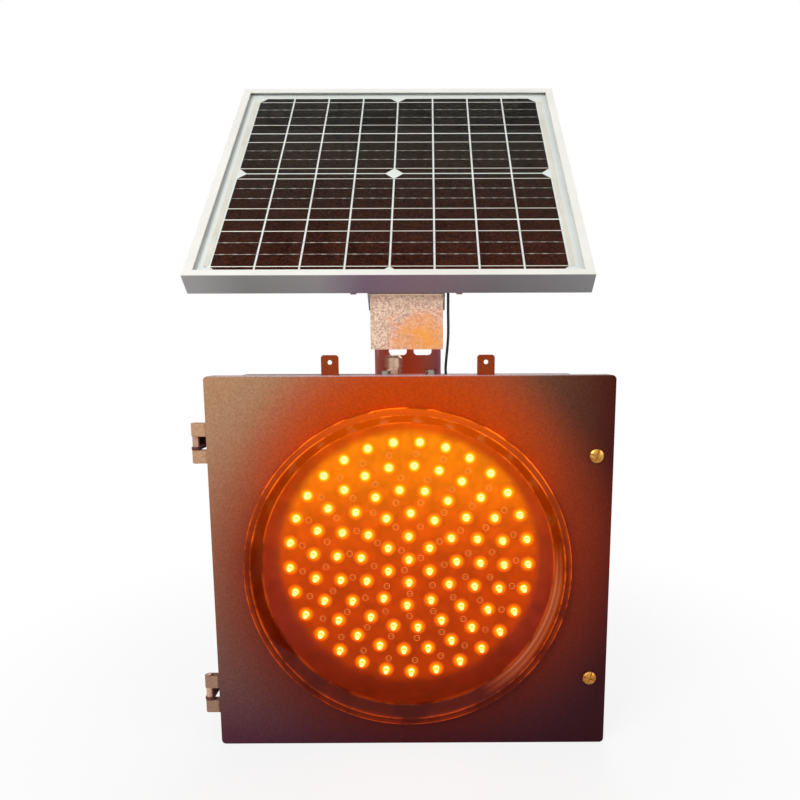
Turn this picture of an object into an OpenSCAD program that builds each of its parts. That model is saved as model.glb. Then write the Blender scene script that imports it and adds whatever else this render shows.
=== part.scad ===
// Solar flashing warning light: a 300 mm amber signal face in a hinged steel housing, with
// a tilting solar panel on a neck above it and two brackets for a pole at the back.
// X runs to the right, Y away from the viewer and Z up. The origin is the middle of the
// four pole bolt holes, on the rear faces of the pole brackets. Sizes in millimetres.

/* [Door] */
// Width of the door's front between the lens rim and the hinge side
edge_hinge = 32.85; // [32.8:0.05:36]
// Width of the door's front between the lens rim and the lock side
edge_lock = 39.65; // [39.6:0.05:42]
// Height of the door's front above the lens rim
edge_top = 31.7; // [30:0.1:34]
// Height of the door's front below the lens rim
edge_bottom = 25.3; // [25:0.1:28]
// Depth of the folded edge round the door
door_depth = 18; // [12:0.5:18.5]
// Radius of the door's corners
door_corner = 4.5; // [2:0.5:8]
// Thickness of the sheet steel of door and housing
sheet = 1.5; // [1:0.1:1.8]

/* [Tabs] */
// Width of each tab on the door's top edge
tab_w = 17; // [12:0.5:22]
// Height of each tab above the door
tab_h = 20; // [14:0.5:26]
// Radius of the hole in each tab
tab_hole_r = 2.2; // [1.5:0.1:3]
// Distance between the two tab holes
tab_gap = 151.5; // [120:0.5:180]
// Distance of each tab hole below the tab's top
tab_hole_drop = 7; // [5:0.5:9]

/* [Housing] */
// How far the housing's hinge side lies inside the door's edge
inset_hinge = 9.35; // [9.3:0.05:9.6]
// How far the housing's lock side lies inside the door's edge
inset_lock = 22.15; // [22:0.05:22.4]
// How far the housing's top and bottom lie inside the door's edges
inset_ends = 3.5; // [3:0.1:4]
// Space between the light board and the battery
battery_air = 6.1; // [5.5:0.1:20]
// Width of the lip round the housing's front opening
lip_w = 10; // [9:0.5:11]
// Space between the door's sheet and the housing's lip
seal_space = 4.5; // [4.3:0.1:5.5]

/* [Hinges and locks] */
// Radius of the hinge pins
pin_r = 2.5; // [2:0.1:3]
// Height of one hinge
hinge_h = 40; // [36:1:46]
// Height of the gap in the middle of a hinge
hinge_gap = 14; // [10:0.5:18]
// Distance of the upper hinge's middle below the door's top
hinge_down = 66.2; // [50:0.1:80]
// Height of the lower hinge's middle above the door's bottom
hinge_up = 55.8; // [45:0.1:70]
// Length of the door's rolled hinge straps, from the door's edge to the pin
strap_reach = 11.4; // [11:0.1:12]
// Radius of the lock screws' shanks
lock_r = 3; // [2.5:0.1:3.2]
// Radius of the lock screws' heads
lock_head_r = 6.9; // [5:0.1:8]
// Distance of the lock screws from the door's right edge
lock_inset = 17.3; // [16.8:0.1:18]
// Distance of the lock screws from the door's top and bottom, on average
lock_ends = 76.5; // [60:0.5:95]

/* [Lens] */
// Radius of the clear face of the lens
face_r = 150; // [146:0.5:151]
// Width of the raised rim round the clear face
rim_w = 15; // [13:0.5:16]
// Height of the rim in front of the door
rim_h = 7; // [4:0.5:10]
// Width of the flat crest of the rim
crest_w = 6.5; // [5:0.5:8]
// How far the clear face lies behind the door's front
face_set = 6; // [4:0.5:8]
// Wall thickness of the lens moulding
lens_wall = 2.5; // [2:0.1:3]
// Width of the flange that holds the lens behind the door
flange_w = 5; // [4:0.5:6]
// Thickness of the flat seal in front of that flange
lens_seal = 1.5; // [1:0.1:2]

/* [Light board] */
// How much wider than the clear face the square board is
board_over = 30; // [25:1:34]
// Thickness of the board
board_t = 1.6; // [1.2:0.1:2]
// Distance of the board behind the door's front
board_y = 32; // [28:0.5:32.5]
// Distance from the outer ring of lamps to the edge of the clear face
led_edge = 23.25; // [20:0.25:35]
// Radius of one lamp
led_r = 2.5; // [2:0.1:2.8]
// Height of one lamp above the board
led_h = 8.6; // [7:0.1:9]
// Distance of the corner spacers from the board's edges
spacer_inset = 15; // [12:0.5:17]

/* [Neck] */
// Width of the neck across its cheeks
neck_w = 68.4; // [66:0.1:70]
// Thickness of the neck's sheet
neck_sheet = 2; // [1.5:0.1:2.5]
// Depth of the neck from front to back
neck_depth = 49; // [46:1:52]
// Distance of the neck's front edges behind the door's front
neck_y = 46; // [45:0.5:47]
// Width of each slot in the neck's back
slot_w = 19.7; // [14:0.1:21]
// Width of the strip between the two slots
slot_post = 7.8; // [6:0.1:10]
// Height of the slots' lower ends above the housing
slot_rise = 21.5; // [18:0.5:26]
// Height of the slots
slot_h = 45; // [30:1:50]

/* [Tilting bracket] */
// Height of the tilt axis above the housing
pivot_rise = 98.5; // [96:0.5:104]
// Distance of the tilt axis behind the neck's front edges
pivot_set = 29; // [28:0.5:31]
// Radius of the tilt bolt
pivot_r = 4; // [3:0.1:4.5]
// Thickness of the bracket's galvanised sheet
bracket_sheet = 1.5; // [1.2:0.1:2]
// How far the bracket's front plate lies in front of the tilt axis
web_reach = 55; // [52:0.5:58]
// How far the bracket's front plate hangs below the tilt axis
web_drop = 70; // [66:0.5:72]
// Play between the neck's cheeks and the bracket's cheeks
cheek_play = 0.3; // [0.25:0.05:0.5]

/* [Solar panel] */
// Tilt of the panel from the horizontal
tilt = 45; // [42:1:48]
// Distance from the cells to the frame's sides
panel_side = 23; // [12:0.5:30]
// Thickness of the panel's frame
panel_t = 22; // [20:0.5:24]
// How far the panel's middle lies to the left of the neck's middle
panel_off_x = 15.8; // [0:0.1:20]
// Height of the frame's face above the tilt axis
panel_rise = 57; // [56:0.5:62]
// Distance of the frame's lower edge from the tilt axis, along the slope
panel_low = 57.5; // [55:0.5:60]
// Width of the frame's front lip
frame_lip = 9; // [7:0.5:9.5]
// Width of the frame's rear foot
frame_foot = 15; // [13:0.5:18]
// Wall thickness of the frame's profile
frame_wall = 1.5; // [1.2:0.1:1.8]
// Width of one strip cell
cell_w = 41.5; // [38:0.5:41.5]
// Height of one strip cell
cell_h = 83; // [80:0.5:83]
// Gap between neighbouring cells
cell_gap = 2; // [1.5:0.1:2]
// Length of the cut corners of a whole wafer
wafer_cut = 8.55; // [6:0.05:10]
// Distance from the frame's lower edge to the cells
cell_margin = 10; // [9.5:0.1:11]
// Distance from the cells to the frame's upper edge
cell_headroom = 17; // [12:0.5:20]

/* [Pole brackets] */
// Sheet thickness of the pole brackets
hat_sheet = 3; // [2.5:0.1:3.5]
// How far the pole brackets stand off the housing
hat_depth = 25; // [22:0.5:32]
// Width of the pole brackets
hat_w = 180; // [170:1:200]
// Height of the raised middle of a pole bracket
hat_mid = 45; // [42:1:50]
// Height of each foot of a pole bracket
hat_foot = 20; // [18:0.5:22]
// Distance between the two pole brackets
hat_spacing = 220; // [216:1:224]
// Distance between the two holes for one pole strap
strap_gap = 110; // [90:1:130]
// Radius of the pole strap holes
strap_hole_r = 5.5; // [4.5:0.1:6.5]

/* [Battery and electronics] */
// Width of the battery
battery_w = 151; // [140:1:152]
// Depth of the battery
battery_d = 65; // [60:1:65]
// Height of the battery
battery_h = 94; // [88:1:98]
// Width of the charge controller's case
control_w = 124; // [110:1:124]
// Height of the charge controller's case
control_h = 70; // [60:1:72]
// Depth of the charge controller's case
control_d = 30; // [24:0.5:32]
// Width of the flasher module
flasher_w = 70; // [60:1:76]
// Height of the flasher module
flasher_h = 44; // [38:1:46]
// Depth of the flasher module
flasher_d = 22; // [18:0.5:24]
// Radius of the panel's black lead
lead_r = 1.4; // [1.2:0.1:1.6]
// Radius of the battery's leads
wire_r = 1.5; // [1.2:0.1:1.8]
// Radius of the lead from the flasher to the light board
loom_r = 2.2; // [2:0.1:2.6]

/* [Hidden] */
$fn = 72;

// Shank radii of the bolts
m5_r = 2.5;
m6_r = 3;
// Running play in radius round pins and screws, and tight play round fixed bolts
run_play = 0.05;
fix_play = 0.02;
hole_play = 0.1;
// Space left between pieces that move past each other
move_gap = 0.3;

// Edges of the door, measured from the lens axis
rim_r = face_r + rim_w;
door_left = -rim_r - edge_hinge;
door_right = rim_r + edge_lock;
door_top = rim_r + edge_top;
door_bottom = -rim_r - edge_bottom;
door_w = door_right - door_left;
door_h = door_top - door_bottom;
door_off_x = (door_left + door_right) / 2;
door_off_z = (door_top + door_bottom) / 2;
tab_mid_x = 1.5;

// The housing's faces: depth from the door's front, sides from the lens axis
body_front = sheet + seal_space;
battery_rear_gap = nut_h(m6_r) + 1;
body_in = board_y + board_t + battery_air + battery_d + battery_rear_gap;
body_back = body_in + sheet;
body_depth = body_back - body_front;
body_left = door_left + inset_hinge;
body_right = door_right - inset_lock;
body_top = door_top - inset_ends;
body_bottom = door_bottom + inset_ends;
body_w = body_right - body_left;
body_h = body_top - body_bottom;
body_mid = [(body_left + body_right) / 2, 0, (body_top + body_bottom) / 2];
body_corner = 3;
mount_y = body_back + hat_depth;

// Hinges: rolled straps on the door, a lug and a bush on the housing
strap_r = pin_r + run_play + sheet;
pin_x = door_left - strap_reach;
pin_y = strap_r;
hinge_z = [door_bottom + hinge_up, door_top - hinge_down];
pin_over = 0.5;
leaf_h = (hinge_h - hinge_gap) / 2;
lug_t = 3;
lug_r = pin_r + 2;
lug_gap = 2.5;
lug_front = door_depth + lug_gap;
lug_back = lug_front + 11.5;
lug_h = hinge_gap - 2 * move_gap;
lug_play = 0.4;
bush_wall = 0.8;

// Lock screws
lock_x = door_right - lock_inset;
lock_spacing = door_h - 2 * lock_ends;
lock_head_h = 3.5;
lock_edge_h = 2.3;
lock_slot_w = 1.3;
lock_slot_d = 1.4;
lock_block_w = 16;
lock_block_h = 22;
lock_block_y = body_front + 2;
lock_block_d = 12;
lock_play = 0.7;
lock_tip = lock_block_y + 8;
retainer_w = 2.4;
retainer_t = 1.2;

// Lens, its hole in the door and its clips
lens_play = 0.5;
flange_y = sheet + lens_seal;
flange_back = flange_y + lens_wall;
crest_in = rim_r - crest_w;
slant = atan2(crest_in - face_r, rim_h + face_set);
clip_count = 8;
clip_t = 1.5;
clip_w = 14;
clip_reach = 7;
clip_gap = 1.5;
clip_foot = 9.5;
stud_r = 2;
clip_stud = rim_r + flange_w + clip_gap + clip_t + clip_foot / 2;
clip_stud_h = 8;
clip_turn = 180 / clip_count;

// Rings of lamps on the board: how many in each, and where the first one stands
led_rings = [1, 6, 12, 18, 24, 29];
led_turns = [0, 30, 27.5, 17, 11.5, 10];
led_pitch = (face_r - led_edge) / (len(led_rings) - 1);
led_foot_r = led_r + 0.4;
led_foot_h = 1;
board_w = 2 * face_r + board_over;
board_corner = 12;
spacer_gap = board_w - 2 * spacer_inset;
spacer_r = 4.5;
board_screw_r = 1.9;
board_screw_l = 8;
board_screw_in = board_screw_l + board_t - 0.5;
board_screw_head = 2.2;
plug_w = 12;
plug_d = 9;
plug_x = -60;

// Seal between door and housing
seal_inset = 1;

// Neck
neck_in = neck_w / 2 - neck_sheet;
neck_back = neck_y + neck_depth;
neck_top_r = 20;
neck_flare = 1;
post_x = 1.2;
pivot_y = neck_y + pivot_set;
pivot_z = body_top + pivot_rise;
neck_bolt_x = 24;
neck_bolt_y = [neck_y + 4, neck_back - neck_sheet - 7];

// Vent plug on the neck's base plate, and the hole for the panel's lead beside the neck
vent_x = -16.8;
vent_y = neck_y + 22;
vent_hex_r = 11;
vent_hex_h = 5;
vent_waist_r = 9;
vent_waist_h = 2;
vent_cap_r = 10.5;
vent_cap_h = 10;
vent_dome_h = 2.5;
vent_stub_r = 8;
vent_stub_over = 7;
vent_nut_h = 4;
lead_x = neck_w / 2 + 5.4;
lead_y = neck_y + 6;
grommet_r = lead_r + 2.6;
grommet_waist = lead_r + 1.6;
grommet_lip = 1.2;

// Bolts, by the radius of the shank: radius across the head's corners and head height
washer_t = 1.6;
function head_r(r) = r * 1.93;
function head_h(r) = r * 1.33;
function nut_h(r) = r * 1.6;

// Slope coordinates of the panel, from the tilt axis: v up the slope, w square to it
cheek_in = neck_w / 2 + cheek_play;
cheek_out = cheek_in + bracket_sheet;
wafer_cols = 4;
wafer_rows = 2;
cell_cols = 8;
cell_rows = 4;
panel_w = cell_cols * cell_w + (cell_cols - 1) * cell_gap + 2 * panel_side;
panel_l = cell_margin + cell_rows * cell_h + (cell_rows - 1) * cell_gap + cell_headroom;
panel_high = panel_l - panel_low;
under_w = panel_rise - panel_t;
cheek_top = under_w - 1;
cheek_v = 95;
cheek_low = 8;
cheek_heel = [30, -20];
cheek_toe_y = -12;
arm_t = 2;
arm_leg = 25;
arm_end = 3;
arm_bolt_v = [-32, 80];
arm_bolt_w = under_w - 13;
frame_bolt_x = cheek_out + 16;
frame_bolt_in = 8.5;
glass_t = 3.2;
cell_t = 0.2;
back_t = 0.6;
groove = glass_t + cell_t + back_t;
laminate_play = 0.4;
laminate_under = panel_rise - frame_wall - groove;
box_w = 76;
box_l = 56;
box_t = 13;
box_v = panel_high - 62;
box_side = box_w / 2 - panel_off_x;
lid_t = 2.5;
function slope(v, w) = [v * cos(tilt) - w * sin(tilt), v * sin(tilt) + w * cos(tilt)];
function on_panel(x, v, w) = [x, pivot_y + slope(v, w)[0], pivot_z + slope(v, w)[1]];
function on_slope(p) = [p[0], (p[1] - pivot_y) * cos(tilt) + (p[2] - pivot_z) * sin(tilt),
    (p[2] - pivot_z) * cos(tilt) - (p[1] - pivot_y) * sin(tilt)];

// Pole brackets
hat_bolt_x = hat_w / 2 - 20;
hat_bolt_z = hat_mid / 2 + hat_foot / 2;

// Battery and electronics on the housing's floor and back wall
pad_t = 2;
battery_back = body_in - battery_rear_gap;
battery_bottom = body_bottom + sheet + pad_t;
battery_top = battery_bottom + battery_h;
strap_t = 1.2;
strap_w = 20;
strap_z = battery_top - 26;
strap_foot = 15;
inner_stud_l = 7;
blade_w = 6.3;
blade_t = 0.8;
blade_h = 7;
blade_x = battery_w / 2 - 15.5;
blade_y = battery_back - battery_d / 2;
blade_top = battery_top + blade_h;
flasher_z = battery_top + 27.3;
control_z = flasher_z + flasher_h + 18;
control_y = body_in - control_d / 2;
ear_w = 10;
ear_h = 18;
ear_t = 2;
stud_places = [[battery_w / 2 + strap_t + strap_foot / 2, strap_z, strap_t],
    [control_w / 2 + ear_w / 2, control_z + control_h / 2, ear_t],
    [flasher_w / 2 + ear_w / 2, flasher_z + flasher_h / 2, ear_t]];

// Routes of the leads, from the lens axis and the door's front. Each starts and ends straight.
straight = [0, 3, 6];
panel_route = concat([for (d = straight) on_panel(box_side + d, box_v - 5.6, 41.9)],
    [on_panel(box_side + 13.8, box_v - 18, 41.9), on_panel(50, box_v - 38, 41.9),
    on_panel(cheek_out + 29, 180, 41.2), on_panel(cheek_out + 30, 150, 34.2),
    on_panel(cheek_out + 20, 110, 26.4), on_panel(cheek_out + 9, 59.6, 27.1),
    on_panel(cheek_out + 6, 20, 28.5)],
    [for (p = [[-19, 16.3], [-24, -5.7], [-25, -31.7], [-25, -57.7]])
    [cheek_out + 6, pivot_y + p[0], pivot_z + p[1]]],
    [for (z = [12, 4, -4, -12]) [lead_x, lead_y, body_top + z]],
    [[37, 60, body_top - 33], [30, 78, control_z + control_h + 52],
    [22, control_y - 2, control_z + control_h + 24]],
    [for (d = [2:-1:0]) [20, control_y, control_z + control_h + straight[d]]]);
function battery_route(s) = concat([for (d = straight) [s * blade_x, blade_y, blade_top + d]],
    [[s * 58, 74, blade_top + 18], [s * 50, 78, control_z - 44], [s * 32, 81, control_z - 24],
    [s * 16, 90, control_z - 14]],
    [for (d = [2:-1:0]) [s * 12, control_y, control_z - straight[d]]]);
loom_route = concat([for (d = straight) [-flasher_w / 2 - d, body_in - flasher_d / 2, -40]],
    [[-70, 99, -40], [-120, 95, -36], [body_left + 28.5, 86, -28], [body_left + 14.5, 68, -18],
    [body_left + 20.5, 50, -8], [body_left + 46.5, 42, -2], [-105, 39, 0]],
    [for (d = [2:-1:0]) [plug_x - plug_w / 2 - straight[d], 38.5, 0]]);

// Points of the panel's lead that a clip holds under the right arm
clip_points = [8, 9];
clip_half = 4;
clip_long = 2.5;
clip_play = 0.7;

// Smooth curve through hand-chosen points: two steps from each point to the next
function bend(a, b, c, d, t) = 0.5 * (2 * b + (c - a) * t + (2 * a - 5 * b + 4 * c - d) * t * t
    + (3 * b - 3 * c + d - a) * t * t * t);
function at(p, i) = p[max(0, min(len(p) - 1, i))];
function smooth(p) = concat([for (i = [0:len(p) - 2], s = [0:1])
    bend(at(p, i - 1), p[i], p[i + 1], at(p, i + 2), s / 2)], [p[len(p) - 1]]);
function unit(v) = v / norm(v);
function heading(p, i) = unit(at(p, i + 1) - at(p, i - 1));
function square_to(v, t) = unit(v - t * (v * t));
function sides(p, i) = i == 0 ? square_to([0.31, 0.17, 0.93], heading(p, 0))
    : square_to(sides(p, i - 1), heading(p, i));

// Round tube of eight sides along a route
module tube(route, r) {
    p = smooth(route);
    n = 8;
    points = [for (i = [0:len(p) - 1])
        let (t = heading(p, i), a = sides(p, i), b = cross(t, a))
        for (k = [0:n - 1]) p[i] + r * (a * cos(360 * k / n) + b * sin(360 * k / n))];
    walls = [for (i = [0:len(p) - 2], k = [0:n - 1])
        let (j = (k + 1) % n) [i * n + k, (i + 1) * n + k, (i + 1) * n + j, i * n + j]];
    first = [for (k = [0:n - 1]) k];
    last = [for (k = [n - 1:-1:0]) (len(p) - 1) * n + k];
    polyhedron(points, concat([first], walls, [last]));
}

// Moves a piece drawn from the door's front to the frame of the pole brackets
module placed() {
    translate([0, -mount_y, 0]) children();
}

// The same for what tilts: from the tilt axis, and along the panel's slope
module tilting() {
    placed() translate([0, pivot_y, pivot_z]) children();
}

module sloping() {
    tilting() rotate([tilt, 0, 0]) children();
}

// Box between two corners
module block(a, b) {
    translate(a) cube(b - a);
}

// Upright plate with round corners, middle at the origin of X and Z, front face at y
module round_plate(w, h, r, y, t) {
    block([-w / 2 + r, y, -h / 2], [w / 2 - r, y + t, h / 2]);
    block([-w / 2, y, -h / 2 + r], [w / 2, y + t, h / 2 - r]);
    for (sx = [-1, 1], sz = [-1, 1])
        translate([sx * (w / 2 - r), y, sz * (h / 2 - r)]) along_y(r, t);
}

// Round bar along +Y, and along +X
module along_y(r, l) {
    rotate([-90, 0, 0]) cylinder(r = r, h = l);
}

module along_x(r, l) {
    rotate([0, 90, 0]) cylinder(r = r, h = l);
}

// Hexagon nut standing on z = 0, for a shank of radius r
module nut(r) {
    difference() {
        cylinder(r = head_r(r), h = nut_h(r), $fn = 6);
        translate([0, 0, -1]) cylinder(r = r + fix_play, h = nut_h(r) + 2);
    }
}

// Hexagon bolt: head above z = 0, shank of length l below
module bolt(r, l) {
    cylinder(r = head_r(r), h = head_h(r), $fn = 6);
    translate([0, 0, -l]) cylinder(r = r, h = l);
}

// Section with points (y, z) drawn out along X from x0 to x1
module drawn_x(points, x0, x1) {
    translate([x0, 0, 0]) rotate([90, 0, 90]) linear_extrude(x1 - x0) polygon(points);
}

// Both hinges, both locks, the clips round the lens, the spacers at the board's corners
module at_hinges() {
    for (z = hinge_z) translate([pin_x, pin_y, z]) children();
}

module at_lock(s) {
    translate([lock_x, 0, s * lock_spacing / 2]) children();
}

module at_clips() {
    for (i = [0:clip_count - 1]) rotate([0, -clip_turn - 360 * i / clip_count, 0]) children();
}

module at_spacers() {
    for (sx = [-1, 1], sz = [-1, 1]) translate([sx * spacer_gap / 2, 0, sz * spacer_gap / 2]) children();
}

module at_neck_bolts() {
    for (sx = [-1, 1], y = neck_bolt_y) translate([sx * neck_bolt_x, y, body_top]) children();
}

module at_hat_bolts() {
    for (z = [-1, 1] * hat_spacing / 2, sx = [-1, 1], sz = [-1, 1])
        translate([sx * hat_bolt_x, body_back, z + sz * hat_bolt_z]) children();
}

module at_inner_studs() {
    for (p = stud_places, s = [-1, 1]) translate([s * p[0], body_in, p[1]]) children();
}

// Housing: folded steel box, open at the front inside a narrow lip
module body_shell() {
    color("#5d4638") placed() difference() {
        union() {
            difference() {
                translate(body_mid) round_plate(body_w, body_h, body_corner, body_front, body_depth);
                translate(body_mid) round_plate(body_w - 2 * sheet, body_h - 2 * sheet,
                    max(body_corner - sheet, 0.5), body_front + sheet, body_depth - 2 * sheet);
                translate(body_mid) round_plate(body_w - 2 * lip_w, body_h - 2 * lip_w, body_corner,
                    body_front - 1, sheet + 2);
            }
            at_inner_studs() translate([0, -inner_stud_l, 0]) along_y(stud_r, inner_stud_l);
        }
        at_neck_bolts() translate([0, 0, -5]) cylinder(r = m6_r + hole_play, h = 10);
        at_hat_bolts() translate([0, -5, 0]) along_y(m6_r + hole_play, 10);
        translate([vent_x, vent_y, body_top - 5]) cylinder(r = vent_stub_r + hole_play, h = 10);
        translate([lead_x, lead_y, body_top - 5]) cylinder(r = grommet_waist + fix_play, h = 10);
    }
}

// Lugs welded to the housing's side, that reach round the door's edge to the pins: a flat arm,
// and a web round its outside that closes the gap between the door's straps
module hinge_lugs() {
    back = lug_back - pin_y;
    right = body_left - pin_x;
    color("#54402f") placed() at_hinges() translate([0, 0, -hinge_gap / 2 + move_gap]) difference() {
        union() {
            cylinder(r = lug_r, h = lug_t);
            block([-lug_r, 0, 0], [lug_r, back, lug_t]);
            block([-lug_r, lug_front - pin_y, 0], [right, back, lug_t]);
            block([-lug_r, pin_r + run_play + bush_wall + lug_play, 0], [-lug_r + lug_t, back, lug_h]);
            block([-lug_r, back - lug_t, 0], [right, back, lug_h]);
        }
        translate([0, 0, -1]) cylinder(r = pin_r + fix_play, h = lug_t + 2);
    }
}

module hinge_pins() {
    color("#8d8a84") placed() at_hinges() translate([0, 0, -hinge_h / 2 - pin_over])
        cylinder(r = pin_r, h = hinge_h + 2 * pin_over);
}

// Bushes that carry the door's upper straps on the lugs
module hinge_bushes() {
    low = -hinge_gap / 2 + move_gap + lug_t;
    color("#8a7a66") placed() at_hinges() translate([0, 0, low]) difference() {
        cylinder(r = pin_r + run_play + bush_wall, h = hinge_gap / 2 - move_gap - low);
        translate([0, 0, -1]) cylinder(r = pin_r + run_play, h = hinge_gap);
    }
}

// Blocks welded outside the housing's right wall, that take the lock screws
module lock_blocks() {
    color("#6a6560") placed() for (s = [-1, 1]) translate([0, 0, s * lock_spacing / 2]) difference() {
        block([body_right, lock_block_y, -lock_block_h / 2],
            [body_right + lock_block_w, lock_block_y + lock_block_d, lock_block_h / 2]);
        translate([lock_x, lock_block_y - 1, 0]) along_y(lock_r + lock_play, lock_block_d + 2);
    }
}

// Neck: channel folded from one sheet, open to the front, standing on the housing
module neck() {
    color("#5a4a52") placed() difference() {
        union() {
            for (s = [-1, 1]) {
                block([s > 0 ? neck_in : -neck_w / 2, neck_y, body_top],
                    [s > 0 ? neck_w / 2 : -neck_in, neck_back, pivot_z]);
                translate([s > 0 ? neck_in : -neck_w / 2, pivot_y, pivot_z])
                    along_x(neck_top_r, neck_sheet);
            }
            block([-neck_w / 2, neck_back - neck_sheet, body_top],
                [neck_w / 2, neck_back, pivot_z - 12]);
            block([-neck_w / 2, neck_y, body_top], [neck_w / 2, neck_back, body_top + neck_sheet]);
            for (s = [-1, 1]) block([s > 0 ? neck_in : -neck_w / 2 - neck_flare, neck_y, body_top],
                [s > 0 ? neck_w / 2 + neck_flare : -neck_in, neck_back, body_top + neck_sheet]);
        }
        translate([-neck_w / 2 - 1, pivot_y, pivot_z]) along_x(pivot_r + run_play, neck_w + 2);
        for (s = [-1, 1])
            translate([post_x + s * (slot_post + slot_w) / 2, 0, body_top + slot_rise + slot_h / 2])
                round_plate(slot_w, slot_h, 4, neck_back - neck_sheet - 1, neck_sheet + 2);
        at_neck_bolts() translate([0, 0, -5]) cylinder(r = m6_r + hole_play, h = 10);
        translate([vent_x, vent_y, body_top - 5]) cylinder(r = vent_stub_r + hole_play, h = 10);
    }
}

module neck_bolts() {
    color("#a9a59d") placed() at_neck_bolts() translate([0, 0, neck_sheet])
        bolt(m6_r, neck_sheet + sheet + nut_h(m6_r) + 1);
}

module neck_nuts() {
    color("#a9a59d") placed() at_neck_bolts() translate([0, 0, -sheet - nut_h(m6_r)]) nut(m6_r);
}

// Plated vent plug: hexagon, waist, cap, and a threaded stub through base plate and housing
module vent_plug() {
    stub = neck_sheet + sheet + vent_stub_over;
    cap_z = vent_hex_h + vent_waist_h;
    color("#cfcac0") placed() translate([vent_x, vent_y, body_top + neck_sheet]) {
        cylinder(r = vent_hex_r, h = vent_hex_h, $fn = 6);
        translate([0, 0, vent_hex_h]) cylinder(r = vent_waist_r, h = vent_waist_h + 1);
        translate([0, 0, cap_z]) cylinder(r = vent_cap_r, h = vent_cap_h);
        translate([0, 0, cap_z + vent_cap_h])
            cylinder(r1 = vent_cap_r, r2 = vent_cap_r - vent_dome_h, h = vent_dome_h);
        translate([0, 0, -stub]) cylinder(r = vent_stub_r, h = stub);
    }
}

module vent_locknut() {
    color("#cfcac0") placed() translate([vent_x, vent_y, body_top - sheet - vent_nut_h]) difference() {
        cylinder(r = vent_hex_r, h = vent_nut_h, $fn = 6);
        translate([0, 0, -1]) cylinder(r = vent_stub_r + fix_play, h = vent_nut_h + 2);
    }
}

// Rubber grommet clipped into the housing's top sheet, round the panel's lead
module lead_grommet() {
    color("#1b1a19") placed() translate([lead_x, lead_y, body_top - sheet]) difference() {
        union() {
            translate([0, 0, -grommet_lip]) cylinder(r = grommet_r, h = grommet_lip);
            cylinder(r = grommet_waist, h = sheet);
            translate([0, 0, sheet]) cylinder(r = grommet_r, h = grommet_lip);
        }
        translate([0, 0, -5]) cylinder(r = lead_r + fix_play, h = 15);
    }
}

// Sealed battery on a foam pad, held by a strap to the back wall
module battery() {
    color("#2c2d30") placed() block([-battery_w / 2, battery_back - battery_d, battery_bottom],
        [battery_w / 2, battery_back, battery_top]);
}

module battery_terminals() {
    color("#c9b26a") placed() for (s = [-1, 1])
        translate([s * blade_x, battery_back - battery_d / 2, battery_top + blade_h / 2])
            cube([blade_w, blade_t, blade_h], center = true);
}

module battery_pad() {
    color("#1d1d1d") placed() block([-battery_w / 2, battery_back - battery_d, battery_bottom - pad_t],
        [battery_w / 2, battery_back, battery_bottom]);
}

module battery_strap() {
    out = battery_w / 2 + strap_t;
    front = battery_back - battery_d - strap_t;
    color("#9a9a96") placed() translate([0, 0, strap_z - strap_w / 2]) difference() {
        linear_extrude(strap_w) polygon([[-out - strap_foot, body_in], [-out - strap_foot, body_in - strap_t],
            [-out, body_in - strap_t], [-out, front], [out, front], [out, body_in - strap_t],
            [out + strap_foot, body_in - strap_t], [out + strap_foot, body_in], [out - strap_t, body_in],
            [out - strap_t, front + strap_t], [-out + strap_t, front + strap_t], [-out + strap_t, body_in]]);
        for (s = [-1, 1]) translate([s * (out + strap_foot / 2), body_in - 5, strap_w / 2])
            along_y(stud_r + hole_play, 10);
    }
}

// Case with an ear at each side, flat on the back wall
module eared_case(w, h, d, z) {
    placed() difference() {
        union() {
            block([-w / 2, body_in - d, z], [w / 2, body_in, z + h]);
            block([-w / 2 - ear_w, body_in - ear_t, z + h / 2 - ear_h / 2],
                [w / 2 + ear_w, body_in, z + h / 2 + ear_h / 2]);
        }
        for (s = [-1, 1]) translate([s * (w / 2 + ear_w / 2), body_in - 5, z + h / 2])
            along_y(stud_r + hole_play, 10);
    }
}

module charge_controller() {
    color("#31465c") eared_case(control_w, control_h, control_d, control_z);
}

module flasher_module() {
    color("#3a3a3c") eared_case(flasher_w, flasher_h, flasher_d, flasher_z);
}

module stud_nuts() {
    color("#a9a59d") placed() for (p = stud_places, s = [-1, 1])
        translate([s * p[0], body_in - p[2], p[1]]) rotate([90, 0, 0]) nut(stud_r);
}

// Pole bracket of hat section, its feet on the housing's back
module pole_bracket(z) {
    m = hat_mid / 2;
    f = m + hat_foot;
    y0 = body_back;
    y1 = body_back + hat_sheet;
    y3 = mount_y;
    y2 = mount_y - hat_sheet;
    color("#a3a5a3") placed() translate([0, 0, z]) difference() {
        drawn_x([[y0, f], [y1, f], [y1, m], [y3, m], [y3, -m], [y1, -m], [y1, -f], [y0, -f],
            [y0, -m + hat_sheet], [y2, -m + hat_sheet], [y2, m - hat_sheet], [y0, m - hat_sheet]],
            -hat_w / 2, hat_w / 2);
        for (sx = [-1, 1], sz = [-1, 1]) translate([sx * hat_bolt_x, y0 - 1, sz * hat_bolt_z])
            along_y(m6_r + hole_play, hat_sheet + 2);
        for (sx = [-1, 1]) translate([sx * strap_gap / 2, y2 - 1, 0])
            along_y(strap_hole_r, hat_sheet + 2);
    }
}

module pole_bracket_upper() {
    pole_bracket(hat_spacing / 2);
}

module pole_bracket_lower() {
    pole_bracket(-hat_spacing / 2);
}

module bracket_bolts() {
    color("#b4b1a8") placed() at_hat_bolts() translate([0, hat_sheet, 0]) rotate([-90, 0, 0])
        bolt(m6_r, hat_sheet + sheet + nut_h(m6_r));
}

module bracket_nuts() {
    color("#b4b1a8") placed() at_hat_bolts() translate([0, -sheet, 0]) rotate([90, 0, 0]) nut(m6_r);
}

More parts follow.
